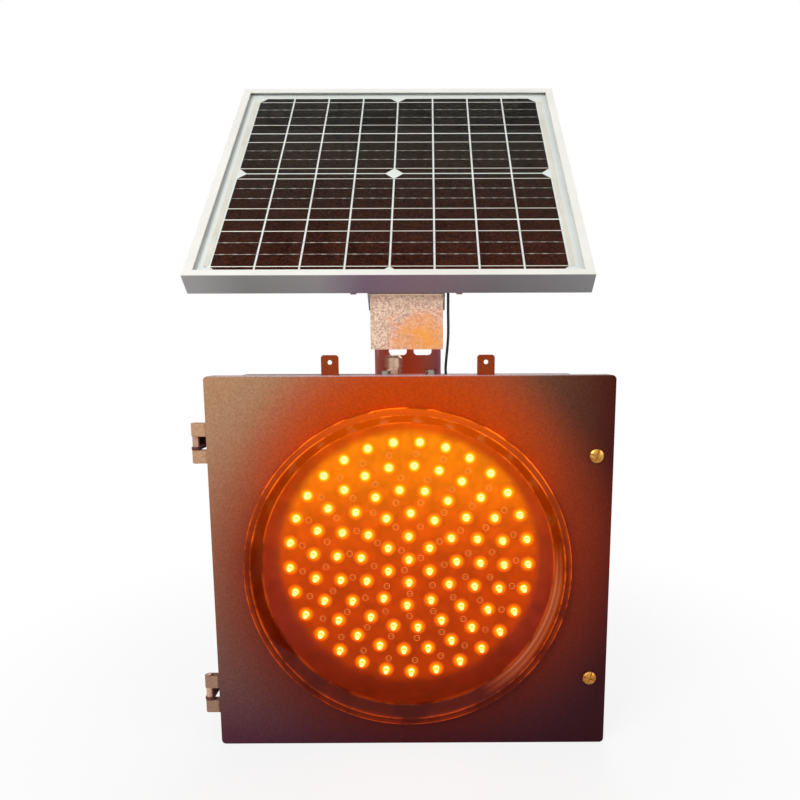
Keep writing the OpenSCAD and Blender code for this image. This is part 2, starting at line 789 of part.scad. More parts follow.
module battery_leads() {
    color("#8c1d18") placed() {
        tube(battery_route(1), wire_r);
        tube(battery_route(-1), wire_r);
    }
}

// Tilt bolt through both cheeks of neck and bracket, with washers and nut
module pivot_bolt() {
    grip = cheek_out + move_gap + washer_t;
    color("#b8b5ac") tilting() translate([grip, 0, 0]) rotate([0, 90, 0])
        bolt(pivot_r, 2 * grip + nut_h(pivot_r) + 3);
}

module pivot_nut() {
    color("#b8b5ac") tilting() translate([-cheek_out - move_gap - washer_t, 0, 0]) rotate([0, -90, 0])
        nut(pivot_r);
}

module pivot_washers() {
    color("#c2bfb6") tilting() for (s = [-1, 1]) translate([s * (cheek_out + move_gap), 0, 0])
        rotate([0, s * 90, 0]) difference() {
            cylinder(r = pivot_r * 2, h = washer_t);
            translate([0, 0, -1]) cylinder(r = pivot_r + fix_play, h = washer_t + 2);
        }
}

// Hinge strap of the door, rolled round the pin
module hinge_strap() {
    difference() {
        union() {
            cylinder(r = strap_r, h = leaf_h);
            block([0, -strap_r, 0], [strap_reach, strap_r, leaf_h]);
        }
        translate([0, 0, -1]) cylinder(r = pin_r + run_play, h = leaf_h + 2);
        block([0, -pin_r - run_play, -1], [strap_reach, pin_r + run_play, leaf_h + 1]);
    }
}

// Door: folded tray with the lens hole, two tabs on its top edge and rolled hinge straps
module door() {
    mid = [door_off_x, 0, door_off_z];
    color("#7b4a35") placed() difference() {
        union() {
            difference() {
                translate(mid) round_plate(door_w, door_h, door_corner, 0, door_depth);
                translate(mid) round_plate(door_w - 2 * sheet, door_h - 2 * sheet,
                    max(door_corner - sheet, 0.5), sheet, door_depth);
            }
            for (s = [-1, 1]) translate([tab_mid_x + s * tab_gap / 2, 0, door_top])
                round_plate(tab_w, 2 * tab_h, 3, 0, sheet);
            at_hinges() for (z = [-hinge_h / 2, hinge_gap / 2]) translate([0, 0, z]) hinge_strap();
            at_clips() translate([clip_stud, sheet, 0]) along_y(stud_r, clip_stud_h);
        }
        translate([0, -1, 0]) along_y(rim_r + lens_play, sheet + 2);
        for (s = [-1, 1]) at_lock(s) translate([0, -1, 0]) along_y(lock_r + run_play, sheet + 2);
        for (s = [-1, 1]) translate([tab_mid_x + s * tab_gap / 2, -1, door_top + tab_h - tab_hole_drop])
            along_y(tab_hole_r, sheet + 2);
    }
}

// Lens: one clear moulding with a raised rim, a set-back face and a flange behind the door.
// The profile is (radius, height in front of the door) and turns about the lens axis.
module lens() {
    back = -face_set - lens_wall;
    under = rim_h - lens_wall;
    in_r = face_r + lens_wall / cos(slant);
    color("#d98a3a", 0.5) placed() rotate([90, 0, 0]) rotate_extrude()
        polygon([[0, -face_set], [face_r, -face_set], [crest_in, rim_h], [rim_r, rim_h],
            [rim_r, -flange_y], [rim_r + flange_w, -flange_y], [rim_r + flange_w, -flange_back],
            [rim_r - lens_wall, -flange_back], [rim_r - lens_wall, under],
            [in_r + (under + face_set) * tan(slant), under], [in_r - lens_wall * tan(slant), back],
            [0, back]]);
}

module ring_y(r0, r1, y, t) {
    translate([0, y, 0]) difference() {
        along_y(r1, t);
        translate([0, -1, 0]) along_y(r0, t + 2);
    }
}

module lens_gasket() {
    color("#1f1d1c") placed() ring_y(rim_r + lens_play, rim_r + flange_w, sheet, lens_seal);
}

// Stepped clips on the door's studs, their tongues on the lens flange
module lens_clips() {
    riser = rim_r + flange_w + clip_gap;
    color("#b1aea6") placed() at_clips() difference() {
        translate([0, 0, -clip_w / 2]) linear_extrude(clip_w) polygon([[riser - clip_reach, flange_back],
            [riser, flange_back], [riser, sheet], [riser + clip_t + clip_foot, sheet],
            [riser + clip_t + clip_foot, sheet + clip_t], [riser + clip_t, sheet + clip_t],
            [riser + clip_t, flange_back + clip_t], [riser - clip_reach, flange_back + clip_t]]);
        translate([clip_stud, 0, 0]) along_y(stud_r + hole_play, 10);
    }
}

module clip_nuts() {
    color("#b1aea6") placed() at_clips() translate([clip_stud, sheet + clip_t, 0])
        rotate([-90, 0, 0]) nut(stud_r);
}

module led_board() {
    color("#5a1a20") placed() difference() {
        round_plate(board_w, board_w, board_corner, board_y, board_t);
        at_spacers() translate([0, board_y - 1, 0]) along_y(board_screw_r + hole_play, board_t + 2);
    }
}

// Lamps: foot, barrel and dome, standing on the board in rings
module led() {
    rotate([90, 0, 0]) {
        cylinder(r = led_foot_r, h = led_foot_h);
        cylinder(r = led_r, h = led_h - led_r);
        translate([0, 0, led_h - led_r]) sphere(r = led_r);
    }
}

module leds() {
    color("#ffb347") placed() for (k = [0:len(led_rings) - 1], i = [0:led_rings[k] - 1])
        let (a = led_turns[k] + 360 * i / led_rings[k])
            translate([k * led_pitch * cos(a), board_y, k * led_pitch * sin(a)]) led();
}

module board_connector() {
    color("#e6e1d2") placed() block([plug_x - plug_w / 2, board_y + board_t, -plug_w / 2],
        [plug_x + plug_w / 2, board_y + board_t + plug_d, plug_w / 2]);
}

module board_standoffs() {
    color("#c8a24c") placed() at_spacers() difference() {
        translate([0, sheet, 0]) rotate([-90, 0, 0]) cylinder(r = spacer_r, h = board_y - sheet, $fn = 6);
        translate([0, board_y - board_screw_l, 0]) along_y(board_screw_r + fix_play, board_screw_l + 1);
    }
}

module board_screws() {
    color("#b4b1a8") placed() at_spacers() translate([0, board_y + board_t, 0]) {
        along_y(board_screw_r * 2, board_screw_head);
        translate([0, -board_screw_in, 0]) along_y(board_screw_r, board_screw_in);
    }
}

// Foam seal on the door's inside, facing the housing's lip
module door_gasket() {
    t = seal_space - move_gap;
    hole = 2 * lip_w - 2 * seal_inset;
    color("#262423") placed() translate(body_mid) difference() {
        round_plate(body_w - 2 * seal_inset, body_h - 2 * seal_inset, body_corner, sheet, t);
        round_plate(body_w - hole, body_h - hole, body_corner, sheet - 1, t + 2);
    }
}

module door_loom() {
    color("#20201f") placed() tube(loom_route, loom_r);
}

// Lock screws: pan head with a cross slot, plain shank
module lock_screw(s) {
    color("#c39a56") placed() at_lock(s) difference() {
        union() {
            translate([0, -hole_play, 0]) rotate([90, 0, 0]) {
                cylinder(r = lock_head_r, h = lock_edge_h);
                translate([0, 0, lock_edge_h])
                    cylinder(r1 = lock_head_r, r2 = lock_head_r - 2, h = lock_head_h - lock_edge_h);
            }
            translate([0, -hole_play, 0]) along_y(lock_r, lock_tip + hole_play);
        }
        for (a = [20, 110]) rotate([0, a, 0]) translate([0, -lock_head_h - hole_play, 0])
            cube([2 * lock_head_r + 2, 2 * lock_slot_d, lock_slot_w], center = true);
    }
}

module lock_retainer(s) {
    color("#77746d") placed() at_lock(s) ring_y(lock_r + fix_play, lock_r + retainer_w,
        sheet + hole_play, retainer_t);
}

module lock_screw_upper() {
    lock_screw(1);
}

module lock_retainer_upper() {
    lock_retainer(1);
}

module lock_screw_lower() {
    lock_screw(-1);
}

module lock_retainer_lower() {
    lock_retainer(-1);
}

// Galvanised bracket: a channel open to the back, round the neck's cheeks
module tilt_bracket() {
    front_top = [-web_reach, (cheek_top - web_reach * sin(tilt)) / cos(tilt)];
    cheek = [[-web_reach, -web_drop], front_top, slope(cheek_v, cheek_top), slope(cheek_v, cheek_low),
        cheek_heel, [cheek_toe_y, -web_drop]];
    color("#b5aaa2") tilting() difference() {
        union() {
            drawn_x(cheek, cheek_in, cheek_out);
            drawn_x(cheek, -cheek_out, -cheek_in);
            block([-cheek_out, -web_reach, -web_drop], [cheek_out, bracket_sheet - web_reach, front_top[1]]);
        }
        translate([-cheek_out - 1, 0, 0]) along_x(pivot_r + run_play, 2 * cheek_out + 2);
        rotate([tilt, 0, 0]) for (v = arm_bolt_v)
            translate([-cheek_out - 1, v, arm_bolt_w]) along_x(m6_r + hole_play, 2 * cheek_out + 2);
    }
}

// Angle bars under the panel: one leg bolted to the bracket's cheek, one to the frame's feet
module panel_arm() {
    difference() {
        union() {
            block([cheek_out, -panel_low + arm_end, under_w - arm_leg],
                [cheek_out + arm_t, panel_high - arm_end, under_w]);
            block([cheek_out, -panel_low + arm_end, under_w - arm_t],
                [cheek_out + arm_leg, panel_high - arm_end, under_w]);
        }
        for (v = arm_bolt_v) translate([cheek_out - 1, v, arm_bolt_w]) along_x(m6_r + hole_play, arm_t + 2);
        for (v = [-panel_low + frame_bolt_in, panel_high - frame_bolt_in])
            translate([frame_bolt_x, v, under_w - arm_t - 1]) cylinder(r = m5_r + hole_play, h = arm_t + 2);
    }
}

module panel_arm_right() {
    color("#aeb0ae") sloping() panel_arm();
}

module panel_arm_left() {
    color("#aeb0ae") sloping() mirror([1, 0, 0]) panel_arm();
}

module at_arm_bolts() {
    for (s = [-1, 1], v = arm_bolt_v) translate([s * cheek_out, v, arm_bolt_w]) rotate([0, s * 90, 0])
        children();
}

module arm_bolts() {
    color("#b8b5ac") sloping() at_arm_bolts() translate([0, 0, arm_t])
        bolt(m6_r, arm_t + bracket_sheet + nut_h(m6_r));
}

module arm_nuts() {
    color("#b8b5ac") sloping() at_arm_bolts() translate([0, 0, -bracket_sheet - nut_h(m6_r)]) nut(m6_r);
}

module at_frame_bolts() {
    for (sx = [-1, 1], v = [-panel_low + frame_bolt_in, panel_high - frame_bolt_in])
        translate([sx * frame_bolt_x, v, under_w]) children();
}

module frame_bolts() {
    color("#b8b5ac") sloping() at_frame_bolts() translate([0, 0, -arm_t]) rotate([180, 0, 0])
        bolt(m5_r, arm_t + frame_wall + nut_h(m5_r));
}

module frame_nuts() {
    color("#b8b5ac") sloping() at_frame_bolts() translate([0, 0, frame_wall]) nut(m5_r);
}

// Frame rail: drawn aluminium with a groove for the glass, mitred at both ends.
// It runs along X from its middle, outer face at y = 0, front face at z = 0.
module rail(l) {
    s = frame_wall;
    g = s + groove;
    difference() {
        drawn_x([[0, -panel_t], [0, 0], [frame_lip, 0], [frame_lip, -s], [s, -s], [s, -g], [frame_lip, -g],
            [frame_lip, -g - s], [s, -g - s], [s, s - panel_t], [frame_foot, s - panel_t],
            [frame_foot, -panel_t]], -l / 2, l / 2);
        for (m = [0, 1]) mirror([m, 0, 0]) translate([l / 2, 0, 0]) rotate([0, 0, 45])
            block([0, -panel_t, -2 * panel_t], [2 * panel_t, 2 * panel_t, panel_t]);
    }
}

module frame_rail_bottom() {
    color("#c3c6c9") sloping() difference() {
        translate([-panel_off_x, -panel_low, panel_rise]) rail(panel_w);
        at_frame_bolts() translate([0, 0, -1]) cylinder(r = m5_r + hole_play, h = frame_wall + 2);
    }
}

module frame_rail_top() {
    color("#c3c6c9") sloping() difference() {
        translate([-panel_off_x, panel_high, panel_rise]) rotate([0, 0, 180]) rail(panel_w);
        at_frame_bolts() translate([0, 0, -1]) cylinder(r = m5_r + hole_play, h = frame_wall + 2);
    }
}

module frame_rail_left() {
    color("#c3c6c9") sloping()
        translate([-panel_off_x - panel_w / 2, panel_high - panel_l / 2, panel_rise])
            rotate([0, 0, -90]) rail(panel_l);
}

module frame_rail_right() {
    color("#c3c6c9") sloping()
        translate([-panel_off_x + panel_w / 2, panel_high - panel_l / 2, panel_rise])
            rotate([0, 0, 90]) rail(panel_l);
}

// Layer of the laminate, top at w, lying in the frame's groove
module layer(w, t) {
    e = frame_wall + laminate_play;
    block([-panel_off_x - panel_w / 2 + e, -panel_low + e, w - t],
        [-panel_off_x + panel_w / 2 - e, panel_high - e, w]);
}

module solar_glass() {
    color("#dfe8ee", 0.35) sloping() layer(panel_rise - frame_wall, glass_t);
}

module backsheet() {
    color("#eceded") sloping() layer(laminate_under + back_t, back_t);
}

// Strip cells: eight from each round-cornered wafer, so that only its corners are cut
module solar_cell(col, row) {
    cut = (col % wafer_cols == 0 || col % wafer_cols == wafer_cols - 1) ? wafer_cut : 0;
    sx = col % wafer_cols == 0 ? -1 : 1;
    sy = row % wafer_rows == 0 ? -1 : 1;
    w = cell_w / 2;
    h = cell_h / 2;
    linear_extrude(cell_t)
        if (cut > 0) polygon([[-w * sx, -h * sy], [w * sx, -h * sy], [w * sx, (h - cut) * sy],
            [(w - cut) * sx, h * sy], [-w * sx, h * sy]]);
        else square([cell_w, cell_h], center = true);
}

module solar_cells() {
    pitch_x = cell_w + cell_gap;
    pitch_y = cell_h + cell_gap;
    color("#17171c") sloping()
        for (col = [0:cell_cols - 1], row = [0:cell_rows - 1])
            translate([-panel_off_x + (col - (cell_cols - 1) / 2) * pitch_x,
                -panel_low + cell_margin + cell_h / 2 + row * pitch_y, laminate_under + back_t])
                solar_cell(col, row);
}

// Junction box on the backsheet, and its lid
module junction_box() {
    color("#1c1c1e") sloping() block([-panel_off_x - box_w / 2, box_v - box_l / 2, laminate_under - box_t],
        [-panel_off_x + box_w / 2, box_v + box_l / 2, laminate_under]);
}

module junction_lid() {
    w = box_w / 2 - 2;
    l = box_l / 2 - 2;
    z = laminate_under - box_t;
    color("#232325") sloping()
        block([-panel_off_x - w, box_v - l, z - lid_t], [-panel_off_x + w, box_v + l, z]);
}

module panel_lead() {
    color("#141414") placed() tube(panel_route, lead_r);
}

// Saddle clips that hold the lead under the right arm
module lead_clips() {
    color("#1e1e1e") sloping() for (i = clip_points) {
        p = on_slope(panel_route[i]);
        difference() {
            block([max(cheek_out + arm_t, p[0] - clip_half), p[1] - clip_long, p[2] - clip_half + 1],
                [p[0] + clip_half, p[1] + clip_long, under_w - arm_t]);
            translate([p[0], p[1] - clip_long - 1, p[2]]) along_y(lead_r + clip_play, 2 * clip_long + 2);
        }
    }
}

body_shell();
hinge_lugs();
hinge_pins();
hinge_bushes();
lock_blocks();
neck();
neck_bolts();
neck_nuts();
vent_plug();
vent_locknut();
lead_grommet();
battery();
battery_terminals();
battery_pad();
battery_strap();
charge_controller();
flasher_module();
stud_nuts();
pole_bracket_upper();
pole_bracket_lower();
bracket_bolts();
bracket_nuts();
battery_leads();
pivot_bolt();
pivot_nut();
pivot_washers();
door();
lens();
lens_gasket();
lens_clips();
clip_nuts();
led_board();
leds();
board_connector();
board_standoffs();
board_screws();
door_gasket();
door_loom();
lock_screw_upper();
lock_retainer_upper();
lock_screw_lower();
lock_retainer_lower();
tilt_bracket();
panel_arm_left();
panel_arm_right();
arm_bolts();
arm_nuts();
frame_bolts();
frame_nuts();
frame_rail_top();
frame_rail_bottom();
frame_rail_left();
frame_rail_right();
solar_glass();
solar_cells();
backsheet();
junction_box();
junction_lid();
panel_lead();
lead_clips();
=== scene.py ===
"""Solar flashing warning light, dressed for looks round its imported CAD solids.

Metres, in the frame of the pole brackets: X to the right, Y away from the viewer, Z up. The lens
axis is x = 0, z = 0, and the door's front lies at y = FRONT.
"""
import bmesh
import bpy
import numpy as np
from mathutils import Matrix


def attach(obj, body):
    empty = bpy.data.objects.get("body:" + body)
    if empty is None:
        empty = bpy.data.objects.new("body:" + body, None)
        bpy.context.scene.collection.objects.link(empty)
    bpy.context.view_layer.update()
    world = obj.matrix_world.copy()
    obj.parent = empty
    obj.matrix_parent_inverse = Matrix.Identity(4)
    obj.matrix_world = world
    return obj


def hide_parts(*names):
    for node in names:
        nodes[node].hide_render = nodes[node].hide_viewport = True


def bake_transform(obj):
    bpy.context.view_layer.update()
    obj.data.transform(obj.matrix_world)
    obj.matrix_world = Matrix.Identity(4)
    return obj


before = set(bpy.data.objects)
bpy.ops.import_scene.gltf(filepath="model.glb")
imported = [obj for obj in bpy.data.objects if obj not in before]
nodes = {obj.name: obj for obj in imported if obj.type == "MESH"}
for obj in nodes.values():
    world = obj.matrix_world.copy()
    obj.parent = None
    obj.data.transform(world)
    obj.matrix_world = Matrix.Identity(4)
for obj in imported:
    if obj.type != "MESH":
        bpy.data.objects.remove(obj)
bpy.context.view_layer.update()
MM = 0.001

# Housing: a box folded from 1.5 mm sheet steel, with lock blocks and hinge lugs welded to its
# sides, powder coated a dark brown maroon. The coat rounds every fold and shows orange peel.
HOUSING_LIGHT, HOUSING_DARK = "703e38", "5a2f2d"
COAT_PEEL, COAT_EDGE = 1.4 * MM, 0.6 * MM
SHARPEST_CURVE = np.radians(32)


def linear(code):
    """Linear colour of an sRGB hex code: c / 12.92 below 0.04045, ((c + 0.055) / 1.055) ** 2.4 above."""
    c = np.array([int(code[i:i + 2], 16) for i in (0, 2, 4)]) / 255
    return (*np.where(c <= 0.04045, c / 12.92, ((c + 0.055) / 1.055) ** 2.4), 1.0)


def add(material, kind, inputs=None, stops=None, **settings):
    """Adds a shader node: settings are its own, inputs are values or the sockets that feed it."""
    node = material.node_tree.nodes.new("ShaderNode" + kind)
    for name, value in settings.items():
        setattr(node, name, value)
    for key, value in (inputs or {}).items():
        if isinstance(value, bpy.types.NodeSocket):
            material.node_tree.links.new(value, node.inputs[key])
        else:
            node.inputs[key].default_value = value
    for i, (place, level) in enumerate(stops or []):
        mark = node.color_ramp.elements[i] if i < 2 else node.color_ramp.elements.new(place)
        mark.position, mark.color = place, level if len(np.shape(level)) else (level, level, level, 1)
    return node


def feed(material, **sockets):
    """Links sockets to the inputs of the material's Principled shader, named with underscores."""
    shader = material.node_tree.nodes["Principled BSDF"]
    for name, socket in sockets.items():
        material.node_tree.links.new(socket, shader.inputs[name.replace("_", " ")])


def started(name, **constants):
    """A new material with a Principled shader whose plain values are set on its own sockets."""
    material = bpy.data.materials.new(name)
    material.use_nodes = True
    for key, value in constants.items():
        material.node_tree.nodes["Principled BSDF"].inputs[key.replace("_", " ")].default_value = value
    return material


def mottled(name, light, dark, cloud, grain, relief, rough, **constants):
    """Colour = dark + (light - dark) * noise(p / cloud), roughness likewise between the two of
    rough, and a relief of noise(p / grain). The noise lies mostly between 0.35 and 0.65."""
    material = started(name, **constants)
    place = add(material, "TexCoord").outputs["Object"]
    clouds = add(material, "TexNoise", {"Vector": place, "Scale": 1 / cloud, "Detail": 4.0})
    share = add(material, "MapRange", {"Value": clouds.outputs["Fac"], "From Min": 0.35, "From Max": 0.65})
    tone = add(material, "Mix", {0: share.outputs[0], 6: linear(dark), 7: linear(light)}, data_type="RGBA")
    gloss = add(material, "MapRange", {"Value": clouds.outputs["Fac"], "From Min": 0.3, "From Max": 0.7,
                                       "To Min": rough[0], "To Max": rough[1]})
    fine = add(material, "TexNoise", {"Vector": place, "Scale": 1 / grain, "Detail": 2.0})
    bump = add(material, "Bump", {"Height": fine.outputs["Fac"], "Distance": relief, "Strength": 1.0})
    feed(material, Base_Color=tone.outputs[2], Roughness=gloss.outputs[0], Normal=bump.outputs[0])
    return material


def soften(name, radius, material, segments=2):
    """Rounds the edges of one CAD node that are sharper than SHARPEST_CURVE and gives it its
    material."""
    part = nodes[name]
    for layer in ("custom_normal", "sharp_edge"):
        if layer in part.data.attributes:
            part.data.attributes.remove(part.data.attributes[layer])
    part.data.polygons.foreach_set("use_smooth", np.ones(len(part.data.polygons), bool))
    weld = part.modifiers.new("Joined", "WELD")
    weld.merge_threshold = 0.01 * MM
    edge = part.modifiers.new("Edges", "BEVEL")
    edge.width, edge.segments, edge.limit_method = radius, segments, "ANGLE"
    edge.angle_limit, edge.harden_normals = SHARPEST_CURVE, True
    part.material_slots[0].material = material
    return part


coat = mottled("powder_coated_steel_housing", HOUSING_LIGHT, HOUSING_DARK, 70 * MM, COAT_PEEL, 0.03 * MM,
               (0.45, 0.58), IOR=1.5, Specular_IOR_Level=0.2)
soften("body_shell", COAT_EDGE, coat)
soften("lock_blocks", COAT_EDGE, coat)
soften("hinge_lugs", 0.5 * MM, coat)

# Bolts, nuts, washers, lens clips and lock rings: steel, zinc plated in a barrel, which leaves a
# satin grey with a faint yellow cast. They hold the pieces together and are fitted by hand.
zinc = mottled("zinc_plated_steel", "c9c4b6", "97928a", 14 * MM, 0.5 * MM, 0.012 * MM, (0.28, 0.46),
               Metallic=0.9)
for name in ("pivot_bolt", "pivot_nut", "pivot_washers", "arm_bolts", "arm_nuts",
             "frame_bolts", "frame_nuts", "bracket_bolts", "bracket_nuts", "neck_bolts", "neck_nuts",
             "lens_clips", "clip_nuts", "board_screws", "stud_nuts", "lock_retainer_upper",
             "lock_retainer_lower"):
    soften(name, 0.25 * MM, zinc)

# Hinge pins and bushes: turned steel, zinc plated, a satin metal whose pinkish tan is a painted
# reflection of the door's warm tone. They are pushed through the lugs before the door is hung.
warm_zinc = mottled("zinc_with_painted_warm_reflection", "dcb49c", "b08a74", 14 * MM, 0.5 * MM, 0.012 * MM, (0.3, 0.45),
                    Metallic=0.8)
for name in ("hinge_pins", "hinge_bushes"):
    soften(name, 0.25 * MM, warm_zinc)

# Neck: a channel folded from 2 mm steel, bolted to the housing's top and powder coated with it.
# The lamp's light reaches into the channel and glows orange brown on its inner faces.
NECK_HALF, NECK_BACK = 34.2 * MM, -42 * MM
GLOW_END, GLOW_FULL = 268 * MM, 248 * MM
neck_coat = mottled("powder_coated_steel_neck", "8c5f62", "6e4650", 40 * MM, COAT_PEEL, 0.03 * MM,
                    (0.4, 0.55), IOR=1.5, Specular_IOR_Level=0.2, Emission_Strength=1.0)
axes = add(neck_coat, "SeparateXYZ", {0: add(neck_coat, "TexCoord").outputs["Object"]})
across = add(neck_coat, "MapRange", {"Value": axes.outputs[0], "From Min": -NECK_HALF,
                                     "From Max": NECK_HALF})
within = add(neck_coat, "Math", {0: axes.outputs[0], 1: 0.0, 2: NECK_HALF - 0.4 * MM},
             operation="COMPARE")
deep = add(neck_coat, "MapRange", {"Value": axes.outputs[1], "From Min": NECK_BACK - 0.1 * MM,
                                   "From Max": NECK_BACK - 0.5 * MM})
lit = add(neck_coat, "Math", {0: within.outputs[0], 1: deep.outputs[0]}, operation="MULTIPLY")
below = add(neck_coat, "MapRange", {"Value": axes.outputs[2], "From Min": GLOW_END, "From Max": GLOW_FULL})
lit = add(neck_coat, "Math", {0: lit.outputs[0], 1: below.outputs[0]}, operation="MULTIPLY")
orange = add(neck_coat, "ValToRGB", {0: across.outputs[0]}, stops=[
    (0.0, linear("703c34")), (1.0, linear("62303a")), (0.2, linear("762404")), (0.6, linear("802400")),
    (0.85, linear("6e3428"))])
glow = add(neck_coat, "Mix", {0: lit.outputs[0], 6: (0, 0, 0, 1), 7: orange.outputs[0]}, data_type="RGBA")
feed(neck_coat, Emission_Color=glow.outputs[2])
soften("neck", COAT_EDGE, neck_coat)

# Grommet, seals and battery pad: black rubber, moulded or cut from cord and sheet, with a dull
# skin and a light bloom. The seals are pressed between the pieces that they close.
rubber = mottled("black_rubber", "2b2927", "171615", 25 * MM, 0.8 * MM, 0.03 * MM, (0.6, 0.8),
                 IOR=1.52)
for name in ("lead_grommet", "battery_pad", "lens_gasket", "door_gasket"):
    soften(name, 0.3 * MM, rubber)

# Vent plug and its locknut: turned brass, nickel plated, bright and smooth; its warm pale colour is a
# painted reflection of the neck's warm light. The plug is screwed through the neck's foot.
nickel = mottled("nickel_plated_brass", "ffe6ca", "e6c2a2", 9 * MM, 0.6 * MM, 0.01 * MM,
                 (0.24, 0.34), Metallic=0.6)
for name in ("vent_plug", "vent_locknut"):
    soften(name, 0.4 * MM, nickel)

# Battery, charge controller and flasher: moulded ABS cases whose spark-eroded walls look matt and
# evenly dark. The battery is strapped to the housing's back, and the others are screwed to studs.
battery_case = mottled("moulded_abs_battery", "34363a", "232427", 50 * MM, 0.7 * MM, 0.04 * MM,
                       (0.45, 0.6), IOR=1.53)
control_case = mottled("moulded_abs_controller", "3b5570", "28405a", 50 * MM, 0.7 * MM, 0.04 * MM,
                       (0.42, 0.58), IOR=1.53)
flasher_case = mottled("moulded_abs_flasher", "454548", "323235", 40 * MM, 0.7 * MM, 0.04 * MM,
                       (0.42, 0.58), IOR=1.53)
soften("battery", 2.0 * MM, battery_case, 3)
soften("charge_controller", 1.2 * MM, control_case, 3)
soften("flasher_module", 1.0 * MM, flasher_case, 3)
soften("battery_strap", 0.3 * MM, zinc)

# Battery blades: stamped copper, tinned, a soft bright silver with faint runs of the bath.
tinned = mottled("tinned_copper", "d9d3c4", "a9a294", 6 * MM, 0.4 * MM, 0.01 * MM, (0.25, 0.4),
                 Metallic=1.0)
soften("battery_terminals", 0.15 * MM, tinned)

# Hat-section brackets, bent from 3 mm steel and hot-dip galvanised: zinc crystals a few
# millimetres wide give each patch its own grey.
def galvanised(name, light, dark, crystal, **constants):
    """Grey of each zinc crystal = dark + (light - dark) * random value of its Voronoi cell, cell
    size crystal, with a soft cloud of three crystals' width over it."""
    material = started(name, **constants)
    place = add(material, "TexCoord").outputs["Object"]
    bend = add(material, "TexNoise", {"Vector": place, "Scale": 0.5 / crystal, "Detail": 3.0})
    moved = add(material, "VectorMath", {0: bend.outputs["Color"], "Scale": crystal * 0.8},
                operation="SCALE")
    warped = add(material, "VectorMath", {0: place, 1: moved.outputs[0]}, operation="ADD")
    grains = add(material, "TexVoronoi", {"Vector": warped.outputs[0], "Scale": 1 / crystal})
    value = add(material, "SeparateColor", {0: grains.outputs["Color"]})
    tone = add(material, "Mix", {0: value.outputs[0], 6: linear(dark), 7: linear(light)}, data_type="RGBA")
    gloss = add(material, "MapRange", {"Value": value.outputs[1], "To Min": 0.28, "To Max": 0.5})
    bump = add(material, "Bump", {"Height": bend.outputs["Fac"], "Distance": 0.05 * MM, "Strength": 1.0})
    feed(material, Base_Color=tone.outputs[2], Roughness=gloss.outputs[0], Normal=bump.outputs[0])
    return material, tone, place


dipped, _, _ = galvanised("hot_dip_galvanised_steel", "c3c6c6", "9a9d9e", 7 * MM, Metallic=0.75)
for name in ("pole_bracket_upper", "pole_bracket_lower", "panel_arm_left", "panel_arm_right"):
    soften(name, 0.5 * MM, dipped)

# Door: a tray folded from 1.5 mm steel with rolled hinge straps and two tabs, powder coated. Its
# colour carries painted light and shade: a tan brown at the upper left falls off in painted shade to a
# dark maroon away from it, and a painted lamp glow warms it round the lens.
FRONT, FOLD_RADIUS = -137 * MM, 1.0 * MM
DOOR_LEFT, DOOR_RIGHT, DOOR_BOTTOM, DOOR_TOP = -197.9 * MM, 204.6 * MM, -190.3 * MM, 196.7 * MM
STRAPS = -198.5 * MM
LENS_RIM, LENS_TOP = 165 * MM, 105 * MM
# Corner colours of the door's painted light and shade: tan brown at the upper left, dark maroon away from
# it.
TOP_LEFT, TOP_RIGHT, LOW_LEFT, LOW_RIGHT = "c0946f", "4a160c", "52283a", "330f1a"
door_coat = mottled("powder_coated_steel_door", "ffffff", "e9e1de", 2.2 * MM, COAT_PEEL, 0.03 * MM,
                    (0.45, 0.6), IOR=1.5, Specular_IOR_Level=0.08)
place = add(door_coat, "TexCoord").outputs["Object"]
axes = add(door_coat, "SeparateXYZ", {0: place})
across = add(door_coat, "MapRange", {"Value": axes.outputs[0], "From Min": DOOR_LEFT,
                                     "From Max": DOOR_RIGHT})
upward = add(door_coat, "MapRange", {"Value": axes.outputs[2], "From Min": DOOR_BOTTOM,
                                     "From Max": DOOR_TOP})
flat = add(door_coat, "VectorMath", {0: place, 1: (1, 0, 1)}, operation="MULTIPLY")
from_axis = add(door_coat, "VectorMath", {0: flat.outputs[0]}, operation="LENGTH")
from_top = add(door_coat, "VectorMath", {0: flat.outputs[0], 1: (0, 0, LENS_TOP)},
               operation="DISTANCE")
# Painted lamp glow round the lens, from dark red low down to orange at the top.
round_lens = add(door_coat, "MapRange", {
    "Value": from_axis.outputs["Value"], "From Min": LENS_RIM + 75 * MM, "From Max": LENS_RIM - 5 * MM,
    "To Max": 0.78}, interpolation_type="SMOOTHSTEP")
ring_tone = add(door_coat, "ValToRGB", {0: upward.outputs[0]}, stops=[
    (0.0, linear("4a0e0a")), (1.0, linear("c24500")), (0.5, linear("8e2d10"))])
# Painted lamp glow above the lens.
over_lens = add(door_coat, "MapRange", {
    "Value": from_top.outputs["Value"], "From Min": 175 * MM, "From Max": 65 * MM},
    interpolation_type="SMOOTHSTEP")
# Painted highlight on the hinge straps.
strap = add(door_coat, "MapRange", {"Value": axes.outputs[0], "From Min": STRAPS,
                                    "From Max": STRAPS - 1.5 * MM, "To Max": 0.3})
# Painted lamp light on the tabs above the door's top.
tab = add(door_coat, "MapRange", {"Value": axes.outputs[2], "From Min": DOOR_TOP + 0.2 * MM,
                                  "From Max": DOOR_TOP + 0.8 * MM, "To Max": 0.9})
# Painted highlight along the top fold, fading towards the right.
fold = add(door_coat, "Math", {0: axes.outputs[2], 1: DOOR_TOP - 0.2 * MM, 2: 0.5 * MM},
           operation="COMPARE")
fade = add(door_coat, "MapRange", {"Value": across.outputs[0], "From Min": 0.45, "From Max": 0.95,
                                   "To Min": 0.75, "To Max": 0.1})
faint = add(door_coat, "Math", {0: fold.outputs[0], 1: fade.outputs[0]}, operation="MULTIPLY")
# Painted shade falling off from the upper left corner.
low = add(door_coat, "Mix", {0: across.outputs[0], 6: linear(LOW_LEFT), 7: linear(LOW_RIGHT)},
          data_type="RGBA")
high = add(door_coat, "Mix", {0: across.outputs[0], 6: linear(TOP_LEFT), 7: linear(TOP_RIGHT)},
           data_type="RGBA")
